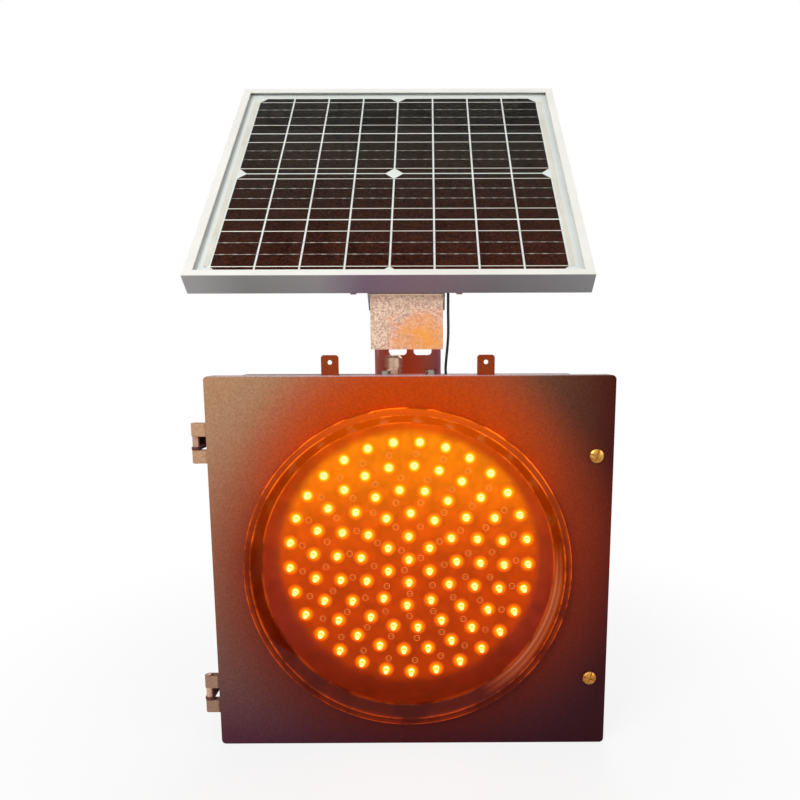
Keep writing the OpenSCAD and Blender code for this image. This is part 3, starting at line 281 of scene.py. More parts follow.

# Painted light and shade laid over the coat, each over what is there: the painted shade falling off
# from the upper left corner, a painted lamp glow round the lens and above it, painted highlights on
# the straps, painted lamp light on the tabs and a painted highlight along the top fold.
laid = low.outputs[2]
for share, colour in ((upward, high.outputs[2]), (round_lens, ring_tone.outputs[0]),
                      (over_lens, linear("cc4800")), (strap, linear("f0c8a2")),
                      (tab, linear("90380e")), (faint, linear("c8b8c6"))):
    laid = add(door_coat, "Mix", {0: share.outputs[0], 6: laid, 7: colour}, data_type="RGBA").outputs[2]
wander = door_coat.node_tree.nodes["Principled BSDF"].inputs["Base Color"].links[0].from_socket
mixed = add(door_coat, "Mix", {0: 1.0, 6: laid, 7: wander}, data_type="RGBA", blend_type="MULTIPLY")
feed(door_coat, Base_Color=mixed.outputs[2])
soften("door", FOLD_RADIUS, door_coat)

# Lens: one moulding of clear amber polycarbonate. The flat face is thin and shows the lamps; the
# raised rim is thicker, so it reads as dark amber. Its light is painted: the amber brightens upward in a
# painted lamp glow, and emission paints bright lines where the rim's edges catch light, a pale painted
# highlight at the lower right and a painted glow over the top.
FACE_RADIUS, GLINT_BREAK_LENGTH = 150 * MM, 38.5 * MM
amber = started("moulded_amber_polycarbonate", Roughness=0.06, IOR=1.586, Specular_IOR_Level=0.1)
place = add(amber, "TexCoord").outputs["Object"]
axes = add(amber, "SeparateXYZ", {0: place})
flat = add(amber, "VectorMath", {0: place, 1: (1, 0, 1)}, operation="MULTIPLY")
radius = add(amber, "VectorMath", {0: flat.outputs[0]}, operation="LENGTH").outputs["Value"]
upward = add(amber, "MapRange", {"Value": axes.outputs[2], "From Min": -0.17, "From Max": 0.17})
# Painted lamp glow: the amber runs from dark low down to bright orange at the top.
body = add(amber, "ValToRGB", {0: upward.outputs[0]}, stops=[
    (0.0, linear("4a0b02")), (1.0, linear("dc5400")), (0.5, linear("6c1400")), (0.85, linear("b03c00"))])
# Painted highlights: emitted bright lines along the rim's edges, broken up by noise and brighter higher up.
glint_breaks = add(amber, "TexNoise", {"Vector": place, "Scale": 1 / GLINT_BREAK_LENGTH, "Detail": 4.0,
                                 "Roughness": 0.7})
line = add(amber, "ValToRGB", {0: add(amber, "MapRange", {
    "Value": radius, "From Min": 148 * MM, "From Max": 167 * MM}).outputs[0]}, stops=[
    (0.0, 0.0), (0.09, 0.9), (0.15, 0.04), (0.5, 0.04), (0.56, 0.8), (0.61, 0.05), (0.83, 0.06),
    (0.89, 1.0), (0.95, 0.3)])
shine = add(amber, "MapRange", {"Value": glint_breaks.outputs["Fac"], "From Min": 0.43, "From Max": 0.57,
                                "To Min": 0.12})
power = add(amber, "Math", {0: line.outputs[0], 1: shine.outputs[0]}, operation="MULTIPLY")
higher = add(amber, "MapRange", {"Value": upward.outputs[0], "To Min": 0.8, "To Max": 1.5})
strong = add(amber, "Math", {0: power.outputs[0], 1: higher.outputs[0]}, operation="MULTIPLY")
# A pale painted highlight on the rim's inner wall at the lower right.
pale_way = add(amber, "VectorMath", {0: flat.outputs[0]}, operation="NORMALIZE")
pale_turn = add(amber, "VectorMath", {0: pale_way.outputs[0], 1: (0.91, 0, -0.41)},
                operation="DOT_PRODUCT")
pale_arc = add(amber, "MapRange", {"Value": pale_turn.outputs["Value"], "From Min": 0.8,
                                   "From Max": 0.96})
pale_band = add(amber, "ValToRGB", {0: add(amber, "MapRange", {
    "Value": radius, "From Min": 150 * MM, "From Max": 160 * MM}).outputs[0]}, stops=[
    (0.0, 0.0), (0.2, 0.7), (0.35, 0.25), (0.5, 0.5), (0.8, 0.0)])
pale = add(amber, "Math", {0: pale_arc.outputs[0], 1: pale_band.outputs[0]}, operation="MULTIPLY")
strong = add(amber, "Math", {0: strong.outputs[0], 1: pale.outputs[0]}, operation="MAXIMUM")
# A painted orange glow over the top of the lens.
flood = add(amber, "MapRange", {"Value": upward.outputs[0], "From Min": 0.72, "From Max": 1.0,
                                "To Max": 0.16})
strong = add(amber, "Math", {0: strong.outputs[0], 1: flood.outputs[0]}, operation="MAXIMUM")
glint = add(amber, "Mix", {0: upward.outputs[0], 6: linear("e04c08"), 7: linear("ff7a10")},
            data_type="RGBA")
bright = add(amber, "Mix", {0: pale.outputs[0], 6: glint.outputs[2], 7: linear("b88a6c")},
             data_type="RGBA")
feed(amber, Base_Color=body.outputs[0], Emission_Color=bright.outputs[2],
     Emission_Strength=strong.outputs[0])

# The body shows solid on the rim and clear on the face, and more solid where it is seen edgewise.
on_rim = add(amber, "MapRange", {"Value": radius, "From Min": FACE_RADIUS - 1 * MM,
                                 "From Max": FACE_RADIUS + 1 * MM, "To Min": 0.04, "To Max": 0.86})
slant = add(amber, "LayerWeight", {"Blend": 0.5})
steep = add(amber, "Math", {0: slant.outputs["Facing"], 1: 4.0}, operation="POWER")
edgewise = add(amber, "Math", {0: steep.outputs[0], 1: 0.3, 2: 0.01}, operation="MULTIPLY_ADD")
solid = add(amber, "Math", {0: on_rim.outputs[0], 1: edgewise.outputs[0]}, operation="ADD",
            use_clamp=True)
through = add(amber, "BsdfTransparent", {"Color": linear("ffe8c8")})
mix = add(amber, "MixShader", {0: solid.outputs[0], 1: through.outputs[0],
                               2: amber.node_tree.nodes["Principled BSDF"].outputs[0]})
amber.node_tree.links.new(mix.outputs[0], amber.node_tree.nodes["Material Output"].inputs["Surface"])
soften("lens", 0.5 * MM, amber)

# Light board: 1.6 mm glass-epoxy laminate under maroon solder resist. The lamps stand in rings of
# 1, 6, 12, 18, 24 and 29. Each throws a small pool of light, and the whole board glows with them:
# its light is LAMP_LIGHT times the colours below.
LAMP_LIGHT = 3.0
RING_COUNTS = np.array([1, 6, 12, 18, 24, 29])
RING_TURNS = np.array([0, 30, 27.5, 17, 11.5, 10])
RING_PITCH = 25.35 * MM
BOARD_FRONT = FRONT + 32 * MM
laminate = mottled("glass_epoxy_board", "3a1210", "260b0a", 30 * MM, 0.9 * MM, 0.01 * MM,
                   (0.3, 0.42), IOR=1.55, Emission_Strength=LAMP_LIGHT)
place = add(laminate, "TexCoord").outputs["Object"]
axes = add(laminate, "SeparateXYZ", {0: place})
flat = add(laminate, "VectorMath", {0: place, 1: (1, 0, 1)}, operation="MULTIPLY")
radius = add(laminate, "VectorMath", {0: flat.outputs[0]}, operation="LENGTH").outputs["Value"]

# Distance to the nearest lamp: the ring nearest in radius, then the lamp nearest in angle on it.
# With off the angle between them, out = r cos off - ring radius, side = r sin off, and the
# distance is the root of side squared plus out squared. Each row is a name, a sum and its terms.
sums = {"x": axes.outputs[0], "z": axes.outputs[2], "r": radius}
recipe = [("rings out", "DIVIDE", "r", RING_PITCH), ("nearest", "ROUND", "rings out"),
          ("ring", "MINIMUM", "nearest", len(RING_COUNTS) - 1.0),
          ("count", "ADD", 0.0, 0.0), ("turn", "ADD", 0.0, 0.0)]
for k, (many, first) in enumerate(zip(RING_COUNTS, RING_TURNS)):
    recipe += [("here", "COMPARE", "ring", float(k), 0.1),
               ("count", "MULTIPLY_ADD", "here", float(many), "count"),
               ("turn", "MULTIPLY_ADD", "here", float(np.radians(first)), "turn")]
recipe += [("bearing", "ARCTAN2", "z", "x"), ("angle", "SUBTRACT", "bearing", "turn"),
           ("step", "DIVIDE", 2 * np.pi, "count"), ("steps", "DIVIDE", "angle", "step"),
           ("whole", "ROUND", "steps"), ("lamp angle", "MULTIPLY", "step", "whole"),
           ("off", "SUBTRACT", "angle", "lamp angle"), ("sine", "SINE", "off"),
           ("cosine", "COSINE", "off"), ("side", "MULTIPLY", "r", "sine"),
           ("along", "MULTIPLY", "r", "cosine"), ("ring radius", "MULTIPLY", "ring", RING_PITCH),
           ("out", "SUBTRACT", "along", "ring radius"), ("side squared", "MULTIPLY", "side", "side"),
           ("squares", "MULTIPLY_ADD", "out", "out", "side squared"), ("distance", "SQRT", "squares")]
for name, operation, *terms in recipe:
    values = {i: sums[term] if isinstance(term, str) else term for i, term in enumerate(terms)}
    sums[name] = add(laminate, "Math", values, operation=operation).outputs[0]
distance = sums["distance"]

# Light on the board: the field of lamps, the darker margin, and a pool round each lamp that is
# wider higher up. A soft unevenness 14 mm wide lies over field and margin.
rise = add(laminate, "MapRange", {"Value": axes.outputs[2], "From Min": -FACE_RADIUS,
                                  "From Max": FACE_RADIUS})
field = add(laminate, "ValToRGB", {0: rise.outputs[0]}, stops=[
    (0.0, linear("642002")), (1.0, linear("a06a00")), (0.2, linear("702402")), (0.45, linear("7c2c00")),
    (0.62, linear("8c3e00")), (0.8, linear("9c5c00"))])
margin = add(laminate, "ValToRGB", {0: rise.outputs[0]}, stops=[
    (0.0, linear("461408")), (1.0, linear("8a3c00")), (0.25, linear("501a18")), (0.5, linear("5c1f16")),
    (0.8, linear("702a04"))])
outer = add(laminate, "MapRange", {"Value": radius, "From Min": 131 * MM, "From Max": 143 * MM},
            interpolation_type="SMOOTHSTEP")
ground = add(laminate, "Mix", {0: outer.outputs[0], 6: field.outputs[0], 7: margin.outputs[0]},
             data_type="RGBA")
reach = add(laminate, "MapRange", {
    "Value": axes.outputs[2], "From Min": -50 * MM, "From Max": 130 * MM, "To Min": 8 * MM,
    "To Max": 10.5 * MM}, interpolation_type="SMOOTHSTEP")
spread = add(laminate, "Math", {0: distance, 1: reach.outputs[0]}, operation="DIVIDE")
pool = add(laminate, "ValToRGB", {0: spread.outputs[0]}, stops=[
    (0.0, linear("d0d4fa")), (1.0, linear("963c00")), (0.27, linear("d0d0c0")), (0.42, linear("c8a800")),
    (0.57, linear("b87400")), (0.8, linear("a05000"))])
close = add(laminate, "MapRange", {"Value": distance, "From Min": 9.6 * MM, "From Max": 6.8 * MM},
            interpolation_type="SMOOTHSTEP")
mist = add(laminate, "TexNoise", {"Vector": place, "Scale": 1 / (14 * MM), "Detail": 3.0})
patchy = add(laminate, "MapRange", {"Value": mist.outputs["Fac"], "From Min": 0.35,
                                    "From Max": 0.65, "To Min": 0.8, "To Max": 1.08})
uneven = add(laminate, "VectorMath", {0: ground.outputs[2], "Scale": patchy.outputs[0]},
             operation="SCALE")
shown = add(laminate, "Mix", {0: close.outputs[0], 6: uneven.outputs[0], 7: pool.outputs[0]},
            data_type="RGBA")

# Only the lamp side is lit. Dots of solder show at each lamp on the back.
lamp_side = add(laminate, "MapRange", {"Value": axes.outputs[1], "From Min": BOARD_FRONT + 0.8 * MM,
                                       "From Max": BOARD_FRONT + 0.4 * MM})
lit = add(laminate, "VectorMath", {0: shown.outputs[2], "Scale": lamp_side.outputs[0]},
          operation="SCALE")
joint = add(laminate, "MapRange", {"Value": distance, "From Min": 2.1 * MM, "From Max": 1.5 * MM})
resist = laminate.node_tree.nodes["Principled BSDF"].inputs["Base Color"].links[0].from_socket
soldered = add(laminate, "Mix", {0: joint.outputs[0], 6: resist, 7: linear("c4beb0")},
               data_type="RGBA")
feed(laminate, Base_Color=soldered.outputs[2], Emission_Color=lit.outputs[0])
soften("led_board", 0.2 * MM, laminate)


def surface(name, points, material, body, close_u=False, close_v=False):
    """One mesh of n equal grids of points, shape (n, u, v, 3): every four neighbours make a face,
    points that meet are joined, and the faces are turned outward."""
    n, a, b, _ = points.shape
    index = np.arange(n * a * b).reshape(n, a, b)
    index = np.concatenate([index, index[:, :1]], axis=1) if close_u else index
    index = np.concatenate([index, index[:, :, :1]], axis=2) if close_v else index
    quads = np.stack([index[:, :-1, :-1], index[:, 1:, :-1], index[:, 1:, 1:], index[:, :-1, 1:]], axis=-1)
    mesh = bpy.data.meshes.new(name)
    mesh.from_pydata(points.reshape(-1, 3).tolist(), [], quads.reshape(-1, 4).tolist())
    shape = bmesh.new()
    shape.from_mesh(mesh)
    bmesh.ops.remove_doubles(shape, verts=shape.verts, dist=0.001 * MM)
    bmesh.ops.recalc_face_normals(shape, faces=shape.faces)
    shape.to_mesh(mesh)
    shape.free()
    mesh.polygons.foreach_set("use_smooth", np.ones(len(mesh.polygons), bool))
    mesh.materials.append(material)
    part = bpy.data.objects.new(name, mesh)
    bpy.context.collection.objects.link(part)
    if body:
        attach(part, body)
    return part


def revolved(profile, centres, sides):
    """Grids of profile (radius, height towards the front) turned about the Y axis at each centre:
    x = cx + r cos t, y = cy - h, z = cz + r sin t."""
    t = np.linspace(0, 2 * np.pi, sides, endpoint=False)
    r, h = np.array(profile).T[:, :, None]
    ring = np.stack(np.broadcast_arrays(r * np.cos(t), -h, r * np.sin(t)), axis=-1)
    return np.asarray(centres)[:, None, None, :] + ring[None]


# Lamps: clear epoxy bodies 5 mm wide with a foot and a domed end. The chip near the foot is white
# hot to the eye, and the dome in front of it glows yellow.
LAMP_RADIUS, LAMP_HEIGHT = 2.5 * MM, 8.6 * MM
rings = np.repeat(np.arange(6), RING_COUNTS)
place_in_ring = np.concatenate([np.arange(n) for n in RING_COUNTS])
angles = np.radians(RING_TURNS[rings] + 360 * place_in_ring / RING_COUNTS[rings])
lamp_centres = np.stack([rings * RING_PITCH * np.cos(angles), np.full(len(rings), BOARD_FRONT),
                         rings * RING_PITCH * np.sin(angles)], axis=-1)
arc = np.linspace(0, np.pi / 2, 6)
dome = np.stack([LAMP_RADIUS * np.cos(arc), LAMP_HEIGHT - LAMP_RADIUS + LAMP_RADIUS * np.sin(arc)], axis=-1)
lamp_profile = np.concatenate([[[0, 0], [2.9 * MM, 0], [2.9 * MM, 0.9 * MM], [2.5 * MM, 1.1 * MM]], dome])
resin = started("clear_epoxy_lamp", Roughness=0.08, IOR=1.52, Base_Color=linear("ffb454"),
                Emission_Strength=LAMP_LIGHT)
place = add(resin, "TexCoord").outputs["Object"]
depth = add(resin, "MapRange", {"Value": add(resin, "SeparateXYZ", {0: place}).outputs[1],
                                "From Min": BOARD_FRONT - LAMP_HEIGHT, "From Max": BOARD_FRONT})
hot = add(resin, "ValToRGB", {0: depth.outputs[0]}, stops=[
    (0.0, linear("d4d4b8")), (1.0, linear("d0d4fa")), (0.22, linear("d4d0a0")), (0.38, linear("cc8a00")),
    (0.55, linear("cc9800")), (0.75, linear("d4d0a0"))])
feed(resin, Emission_Color=hot.outputs[0])
lamps = surface("lamp_bodies", revolved(lamp_profile, lamp_centres, 14), resin, "front_door",
                close_v=True)
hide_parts("leds")

# Printing on the board: pale ink rings round the places for more lamps, screened on and a little
# raised, each with two domed solder pads that catch the light. The ink's warm tint and its glow are
# painted lamp light.
ink = mottled("pale_printing_ink", "f0c0a0", "c88a68", 8 * MM, 0.5 * MM, 0.005 * MM, (0.5, 0.6),
              IOR=1.5, Emission_Color=linear("f0b080"), Emission_Strength=0.95)
SPARE_COUNTS = np.array([3, 9, 15, 20, 25])
SPARE_TURN, SPARE_START = 23, 8
spare_rings = np.repeat(np.arange(len(SPARE_COUNTS)), SPARE_COUNTS)
spare_places = np.concatenate([np.arange(n) for n in SPARE_COUNTS])
spare_angles = np.radians(360 * spare_places / SPARE_COUNTS[spare_rings]
                          + SPARE_TURN * spare_rings + SPARE_START)
spare_reach = (spare_rings + 0.5) * RING_PITCH
spare = np.stack([spare_reach * np.cos(spare_angles), np.full(len(spare_rings), BOARD_FRONT),
                  spare_reach * np.sin(spare_angles)], axis=-1)
ring_line = np.array([[2.9, 0], [2.95, 0.06], [3.2, 0.06], [3.25, 0]]) * MM
surface("board_print", revolved(ring_line, spare, 20), ink, "front_door", close_v=True)
PAD_HALF_PITCH = 1.27 * MM
pads = np.concatenate([spare + [s * PAD_HALF_PITCH, 0, 0] for s in (-1, 1)])
pad_dome = np.array([[0.75, 0], [0.55, 0.12], [0, 0.2]]) * MM
surface("solder_pads", revolved(pad_dome, pads, 8), tinned, "front_door", close_v=True)

# Board connector and spacers: the connector is moulded nylon, milky and waxy; the spacers are
# turned brass, screwed between the board and the door.
nylon = mottled("moulded_nylon", "efe9da", "d8d0bd", 20 * MM, 0.6 * MM, 0.02 * MM, (0.4, 0.55),
                IOR=1.53)
soften("board_connector", 0.5 * MM, nylon)
brass = mottled("turned_brass", "dca455", "a8702c", 5 * MM, 0.4 * MM, 0.012 * MM, (0.2, 0.36),
                Metallic=1.0)
soften("board_standoffs", 0.2 * MM, brass)

# Lock screws: turned brass with a pan head and a cross slot, bright where the tool has been and
# browner in the slots. Each is held in the door by its ring.
soften("lock_screw_upper", 0.35 * MM, brass, 3)
soften("lock_screw_lower", 0.35 * MM, brass, 3)

# Bracket: a channel folded from galvanised sheet, held to the neck by the tilt bolt. Its front
# plate shows fine crystals under painted light: a pale warm painted reflection over it, a painted
# glow of the lamp's orange light at its lower right, a painted highlight along its top bend and
# painted shade above that bend; its cheeks stay grey.
WEB_TOP, GLOW_X, GLOW_Z, GLOW_WIDTH = 275.6 * MM, 20 * MM, 234 * MM, 0.6
web_zinc, tone, place = galvanised("galvanised_sheet_bracket", "fcdcc2", "c09a86", 1.5 * MM,
                                   Metallic=0.3, Specular_IOR_Level=0.3)
axes = add(web_zinc, "SeparateXYZ", {0: place})
plate = add(web_zinc, "MapRange", {"Value": axes.outputs[1], "From Min": FRONT + 30 * MM,
                                   "From Max": FRONT + 22 * MM})
# Painted glow of the lamp's orange light on the front plate's lower right, with a ragged edge.
squeezed = add(web_zinc, "VectorMath", {0: place, 1: (GLOW_WIDTH, 0, 1)}, operation="MULTIPLY")
from_glow = add(web_zinc, "VectorMath", {0: squeezed.outputs[0], 1: (GLOW_WIDTH * GLOW_X, 0, GLOW_Z)},
                operation="DISTANCE")
drift = add(web_zinc, "TexNoise", {"Vector": place, "Scale": 1 / (11 * MM), "Detail": 3.0})
ragged = add(web_zinc, "Math", {0: drift.outputs["Fac"], 1: 34 * MM, 2: from_glow.outputs["Value"]},
             operation="MULTIPLY_ADD")
near_glow = add(web_zinc, "MapRange", {"Value": ragged.outputs[0], "From Min": 50 * MM,
                                       "From Max": 20 * MM, "To Max": 0.85},
                interpolation_type="SMOOTHSTEP")
# A painted highlight along the top bend of the front plate, and painted shade above the bend.
top_line = add(web_zinc, "ValToRGB", {0: add(web_zinc, "MapRange", {
    "Value": axes.outputs[2], "From Min": WEB_TOP - 2 * MM, "From Max": WEB_TOP + 1 * MM
}).outputs[0]}, stops=[(0.0, 0.0), (0.3, 0.0), (0.42, 1.0), (0.66, 1.0), (0.8, 0.0)])
over_web = add(web_zinc, "MapRange", {"Value": axes.outputs[2], "From Min": WEB_TOP,
                                      "From Max": WEB_TOP + 0.8 * MM, "To Max": 0.85})
warm, bend_highlight, dim = (add(web_zinc, "Math", {0: mask.outputs[0], 1: plate.outputs[0]},
                      operation="MULTIPLY").outputs[0] for mask in (near_glow, top_line, over_web))
hue = add(web_zinc, "Mix", {0: warm, 6: linear("f27c58"), 7: linear("ffa82c")}, data_type="RGBA")
laid = tone.outputs[2]
for share, colour in ((warm, hue.outputs[2]), (bend_highlight, linear("ffeccf")), (dim, linear("5a2c2c"))):
    laid = add(web_zinc, "Mix", {0: share, 6: laid, 7: colour}, data_type="RGBA").outputs[2]
# The cheeks lose the pale warm painted reflection and stay grey.
cheek = add(web_zinc, "Mix", {0: plate.outputs[0], 6: linear("b0c4dc"), 7: (1, 1, 1, 1)},
            data_type="RGBA")
faced = add(web_zinc, "Mix", {0: 1.0, 6: laid, 7: cheek.outputs[2]}, data_type="RGBA",
            blend_type="MULTIPLY")
feed(web_zinc, Base_Color=faced.outputs[2])
soften("tilt_bracket", COAT_EDGE, web_zinc)

# Frame: rails drawn from aluminium, etched and clear anodised, mitred at the corners. The satin
# surface keeps fine drawing lines along each rail.
TILT = np.radians(45)
TILT_AXIS = np.array([0, FRONT + 75 * MM, 291.7 * MM])
UP_SLOPE = np.array([0, np.cos(TILT), np.sin(TILT)])
OUT_OF_PANEL = np.array([0, -np.sin(TILT), np.cos(TILT)])
anodised = mottled("clear_anodised_aluminium", "fbfaf3", "f3f2ea", 60 * MM, 0.5 * MM, 0.01 * MM,
                   (0.38, 0.48), Metallic=0.1)
place = add(anodised, "TexCoord").outputs["Object"]
axes = add(anodised, "SeparateXYZ", {0: place})
up_slope = add(anodised, "VectorMath", {0: place, 1: UP_SLOPE}, operation="DOT_PRODUCT")
rail = nodes["frame_rail_bottom"].data.vertices
corners = np.empty(3 * len(rail))
rail.foreach_get("co", corners)
low_edge = float((corners.reshape(-1, 3) @ UP_SLOPE).min())
# Painted shade on the bottom rail's front face, which faces down: greys across it, with a painted reflection
# of the lamp housing's purple and orange in the middle.
under = add(anodised, "MapRange", {"Value": up_slope.outputs["Value"], "From Min": low_edge + 0.9 * MM,
                                   "From Max": low_edge + 0.4 * MM})
across = add(anodised, "MapRange", {"Value": axes.outputs[0], "From Min": -200 * MM, "From Max": 185 * MM})
sheen = add(anodised, "ValToRGB", {0: across.outputs[0]}, stops=[
    (0.0, linear("a2a2a2")), (1.0, linear("8e8e90")), (0.12, linear("8a8a8a")), (0.3, linear("989698")),
    (0.42, linear("7e6a7e")), (0.55, linear("866f7c")), (0.75, linear("7c7a7e"))])
wander = anodised.node_tree.nodes["Principled BSDF"].inputs["Base Color"].links[0].from_socket
toned = add(anodised, "Mix", {0: under.outputs[0], 6: wander, 7: sheen.outputs[0]}, data_type="RGBA")
feed(anodised, Base_Color=toned.outputs[2])
for name in ("frame_rail_top", "frame_rail_bottom", "frame_rail_left", "frame_rail_right"):
    soften(name, 0.4 * MM, anodised)

# Glass: 3.2 mm low-iron float glass, laid in the frame's groove with sealant. It is clear from the
# front and mirrors its surroundings more where it is seen edgewise.
glass = started("low_iron_glass", Base_Color=linear("101214"), Roughness=0.04, IOR=1.52)
slant = add(glass, "LayerWeight", {"Blend": 0.5})
fifth = add(glass, "Math", {0: slant.outputs["Facing"], 1: 5.0}, operation="POWER")
edgewise = add(glass, "Math", {0: fifth.outputs[0], 1: 0.6, 2: 0.002}, operation="MULTIPLY_ADD")
through = add(glass, "BsdfTransparent", {"Color": linear("feffff")})
mix = add(glass, "MixShader", {0: edgewise.outputs[0], 1: through.outputs[0],
                               2: glass.node_tree.nodes["Principled BSDF"].outputs[0]})
glass.node_tree.links.new(mix.outputs[0], glass.node_tree.nodes["Material Output"].inputs["Surface"])
soften("solar_glass", 0.3 * MM, glass)

# Cells: eight strips from each monocrystalline wafer, etched and coated dark; their colour is set by
# height, a warm brown low down turning grey black higher up. A real cell's printed silver fingers,
# 0.1 mm wide, are too fine to show.
silicon = mottled("monocrystalline_silicon", "ffffff", "9c9696", 3 * MM, 0.8 * MM, 0.01 * MM,
                  (0.3, 0.45), IOR=1.7, Specular_IOR_Level=0.02)
place = add(silicon, "TexCoord").outputs["Object"]
axes = add(silicon, "SeparateXYZ", {0: place})
height = add(silicon, "MapRange", {"Value": axes.outputs[2], "From Min": 300 * MM,
                                   "From Max": 540 * MM})
tint = add(silicon, "ValToRGB", {0: height.outputs[0]}, stops=[
    (0.0, linear("4e2416")), (1.0, linear("3a3834")), (0.3, linear("3c2014")), (0.65, linear("342a20"))])
wander = silicon.node_tree.nodes["Principled BSDF"].inputs["Base Color"].links[0].from_socket
wafer = add(silicon, "Mix", {0: 1.0, 6: tint.outputs[0], 7: wander}, data_type="RGBA", blend_type="MULTIPLY")
feed(silicon, Base_Color=wafer.outputs[2])
soften("solar_cells", 0.03 * MM, silicon, 1)

# Back sheet: white polyester film, laminated under the cells, smooth and a little creamy.
white_sheet = mottled("white_backsheet_film", "fdfdf8", "f5f6f0", 80 * MM, 1.0 * MM, 0.01 * MM,
                      (0.45, 0.55), IOR=1.45)
soften("backsheet", 0.1 * MM, white_sheet, 1)

# Conductors on the cells: two tinned ribbons and two fine printed lines with three pads on each
# strip, soldered or fired on the wafer, bright against it. A ribbon joins the ends at each side.
CELL_ROWS, CELL_COLUMNS = 4, 8
CELL_PITCH_X, CELL_PITCH_V, CELL_HEIGHT = 43.5 * MM, 85 * MM, 83 * MM
PANEL_MIDDLE, FIRST_CELL, CELL_TOP = -15.8 * MM, -47.5 * MM, 52.3 * MM
BAR_HEIGHTS, SEAT = np.array([9.2, 27.7, 46.1, 64.6]) * MM, 0.02 * MM


def on_slope(x, v, w):
    """Point x to the right, v up the panel's slope and w square to it, from the tilt axis:
    y = v cos tilt - w sin tilt, z = v sin tilt + w cos tilt."""
    x, v, w = (np.asarray(part)[..., None] for part in np.broadcast_arrays(x, v, w))
    return TILT_AXIS + x * [1, 0, 0] + v * UP_SLOPE + w * OUT_OF_PANEL


def ribbons(middles_x, middles_v, half_x, half_v, rise):
    """Flat bars with a low crown: across one way the section is a half ellipse of height rise, and
    along the other it is straight."""
    t = np.linspace(0, np.pi, 5)
    along = np.array([-1.0, 1.0])
    x = middles_x[:, None, None] + half_x * (along[:, None] if half_x > half_v else -np.cos(t)[None])
    v = middles_v[:, None, None] + half_v * (-np.cos(t)[None] if half_x > half_v else along[:, None])
    w = CELL_TOP + SEAT + rise * np.sin(t)[None]
    return on_slope(x, v, w)


row, bar = np.meshgrid(np.arange(CELL_ROWS), np.arange(len(BAR_HEIGHTS)), indexing="ij")
from_low = np.where(row % 2 == 0, BAR_HEIGHTS[bar], CELL_HEIGHT - BAR_HEIGHTS[bar])
bar_v = FIRST_CELL + row * CELL_PITCH_V + from_low
strong_bars = np.isin(bar, (0, 3))
silver = mottled("printed_silver", "b9b2a8", "8e867c", 8 * MM, 0.5 * MM, 0.004 * MM, (0.35, 0.5),
                 Metallic=0.7)
tin = mottled("tinned_ribbon", "efeade", "e0d9ca", 40 * MM, 0.5 * MM, 0.004 * MM, (0.3, 0.4),
              Metallic=0.6)
middles = np.full(strong_bars.sum(), PANEL_MIDDLE)
surface("cell_ribbons", ribbons(middles, bar_v[strong_bars], 176 * MM, 0.55 * MM, 0.15 * MM), tin,
        "solar_head")
surface("cell_lines", ribbons(middles, bar_v[~strong_bars], 173 * MM, 0.25 * MM, 0.08 * MM), silver,
        "solar_head")
column, third, line_v = np.meshgrid(np.arange(CELL_COLUMNS) - (CELL_COLUMNS - 1) / 2,
                                    np.array([-13.0, 0, 13]) * MM, bar_v[~strong_bars], indexing="ij")
pad_x = PANEL_MIDDLE + (column * CELL_PITCH_X + third).ravel()
surface("cell_pads", ribbons(pad_x, line_v.ravel(), 2.4 * MM, 0.6 * MM, 0.1 * MM), silver,
        "solar_head")
edge_x = PANEL_MIDDLE + np.array([-177.5, 177.5]) * MM
surface("edge_ribbons", ribbons(edge_x, np.full(2, FIRST_CELL + 169 * MM), 2.3 * MM, 160 * MM, 0.2 * MM),
        tin, "solar_head")

# Junction box and lid under the panel: moulded black ABS, matt, glued to the back sheet with
# silicone, and the lid snaps on.
soften("junction_box", 1.2 * MM, flasher_case, 3)
soften("junction_lid", 0.8 * MM, flasher_case, 3)

# Leads: round cables with black or red PVC jackets, smooth from the extruder, with a slight sheen.
def route(points, steps=8):
    """Catmull-Rom curve through the points: half of 2b + (c - a) t + (2a - 5b + 4c - d) t^2
    + (3b - 3c + d - a) t^3 on each stretch from b to c."""
    p = np.array(points, float) * MM + [0, FRONT, 0]
    q = np.concatenate([p[:1], p, p[-1:]])
    a, b, c, d = (q[i:len(q) - 3 + i, None] for i in range(4))
    t = np.linspace(0, 1, steps, endpoint=False)[None, :, None]
    bend, twist = 2 * a - 5 * b + 4 * c - d, 3 * b - 3 * c + d - a
    curve = 0.5 * (2 * b + (c - a) * t + bend * t ** 2 + twist * t ** 3)
    return np.concatenate([curve.reshape(-1, 3), p[-1:]])


def tube(path, radius, sides=12):
    """Round section carried along the path: p + r (a cos u + b sin u), with a and b square to the
    path's direction, and both ends closed."""
    way = np.gradient(path, axis=0)
    way /= np.linalg.norm(way, axis=1, keepdims=True)
    a = np.cross(way, [0.31, 0.17, 0.93])
    a /= np.linalg.norm(a, axis=1, keepdims=True)
    b = np.cross(way, a)
    u = np.linspace(0, 2 * np.pi, sides, endpoint=False)[None, :, None]
    r = np.full((len(path) + 2, 1, 1), radius)
    r[[0, -1]] = 0
    ends = [0, *range(len(path)), -1]
    return (path[ends, None] + r * (a[ends, None] * np.cos(u) + b[ends, None] * np.sin(u)))[None]


black_pvc = mottled("black_pvc_jacket", "2a1a18", "1a1110", 30 * MM, 0.6 * MM, 0.01 * MM,
                    (0.32, 0.45), IOR=1.53)
red_pvc = mottled("red_pvc_jacket", "b3241c", "8c1712", 30 * MM, 0.6 * MM, 0.01 * MM, (0.32, 0.45),
                  IOR=1.53)

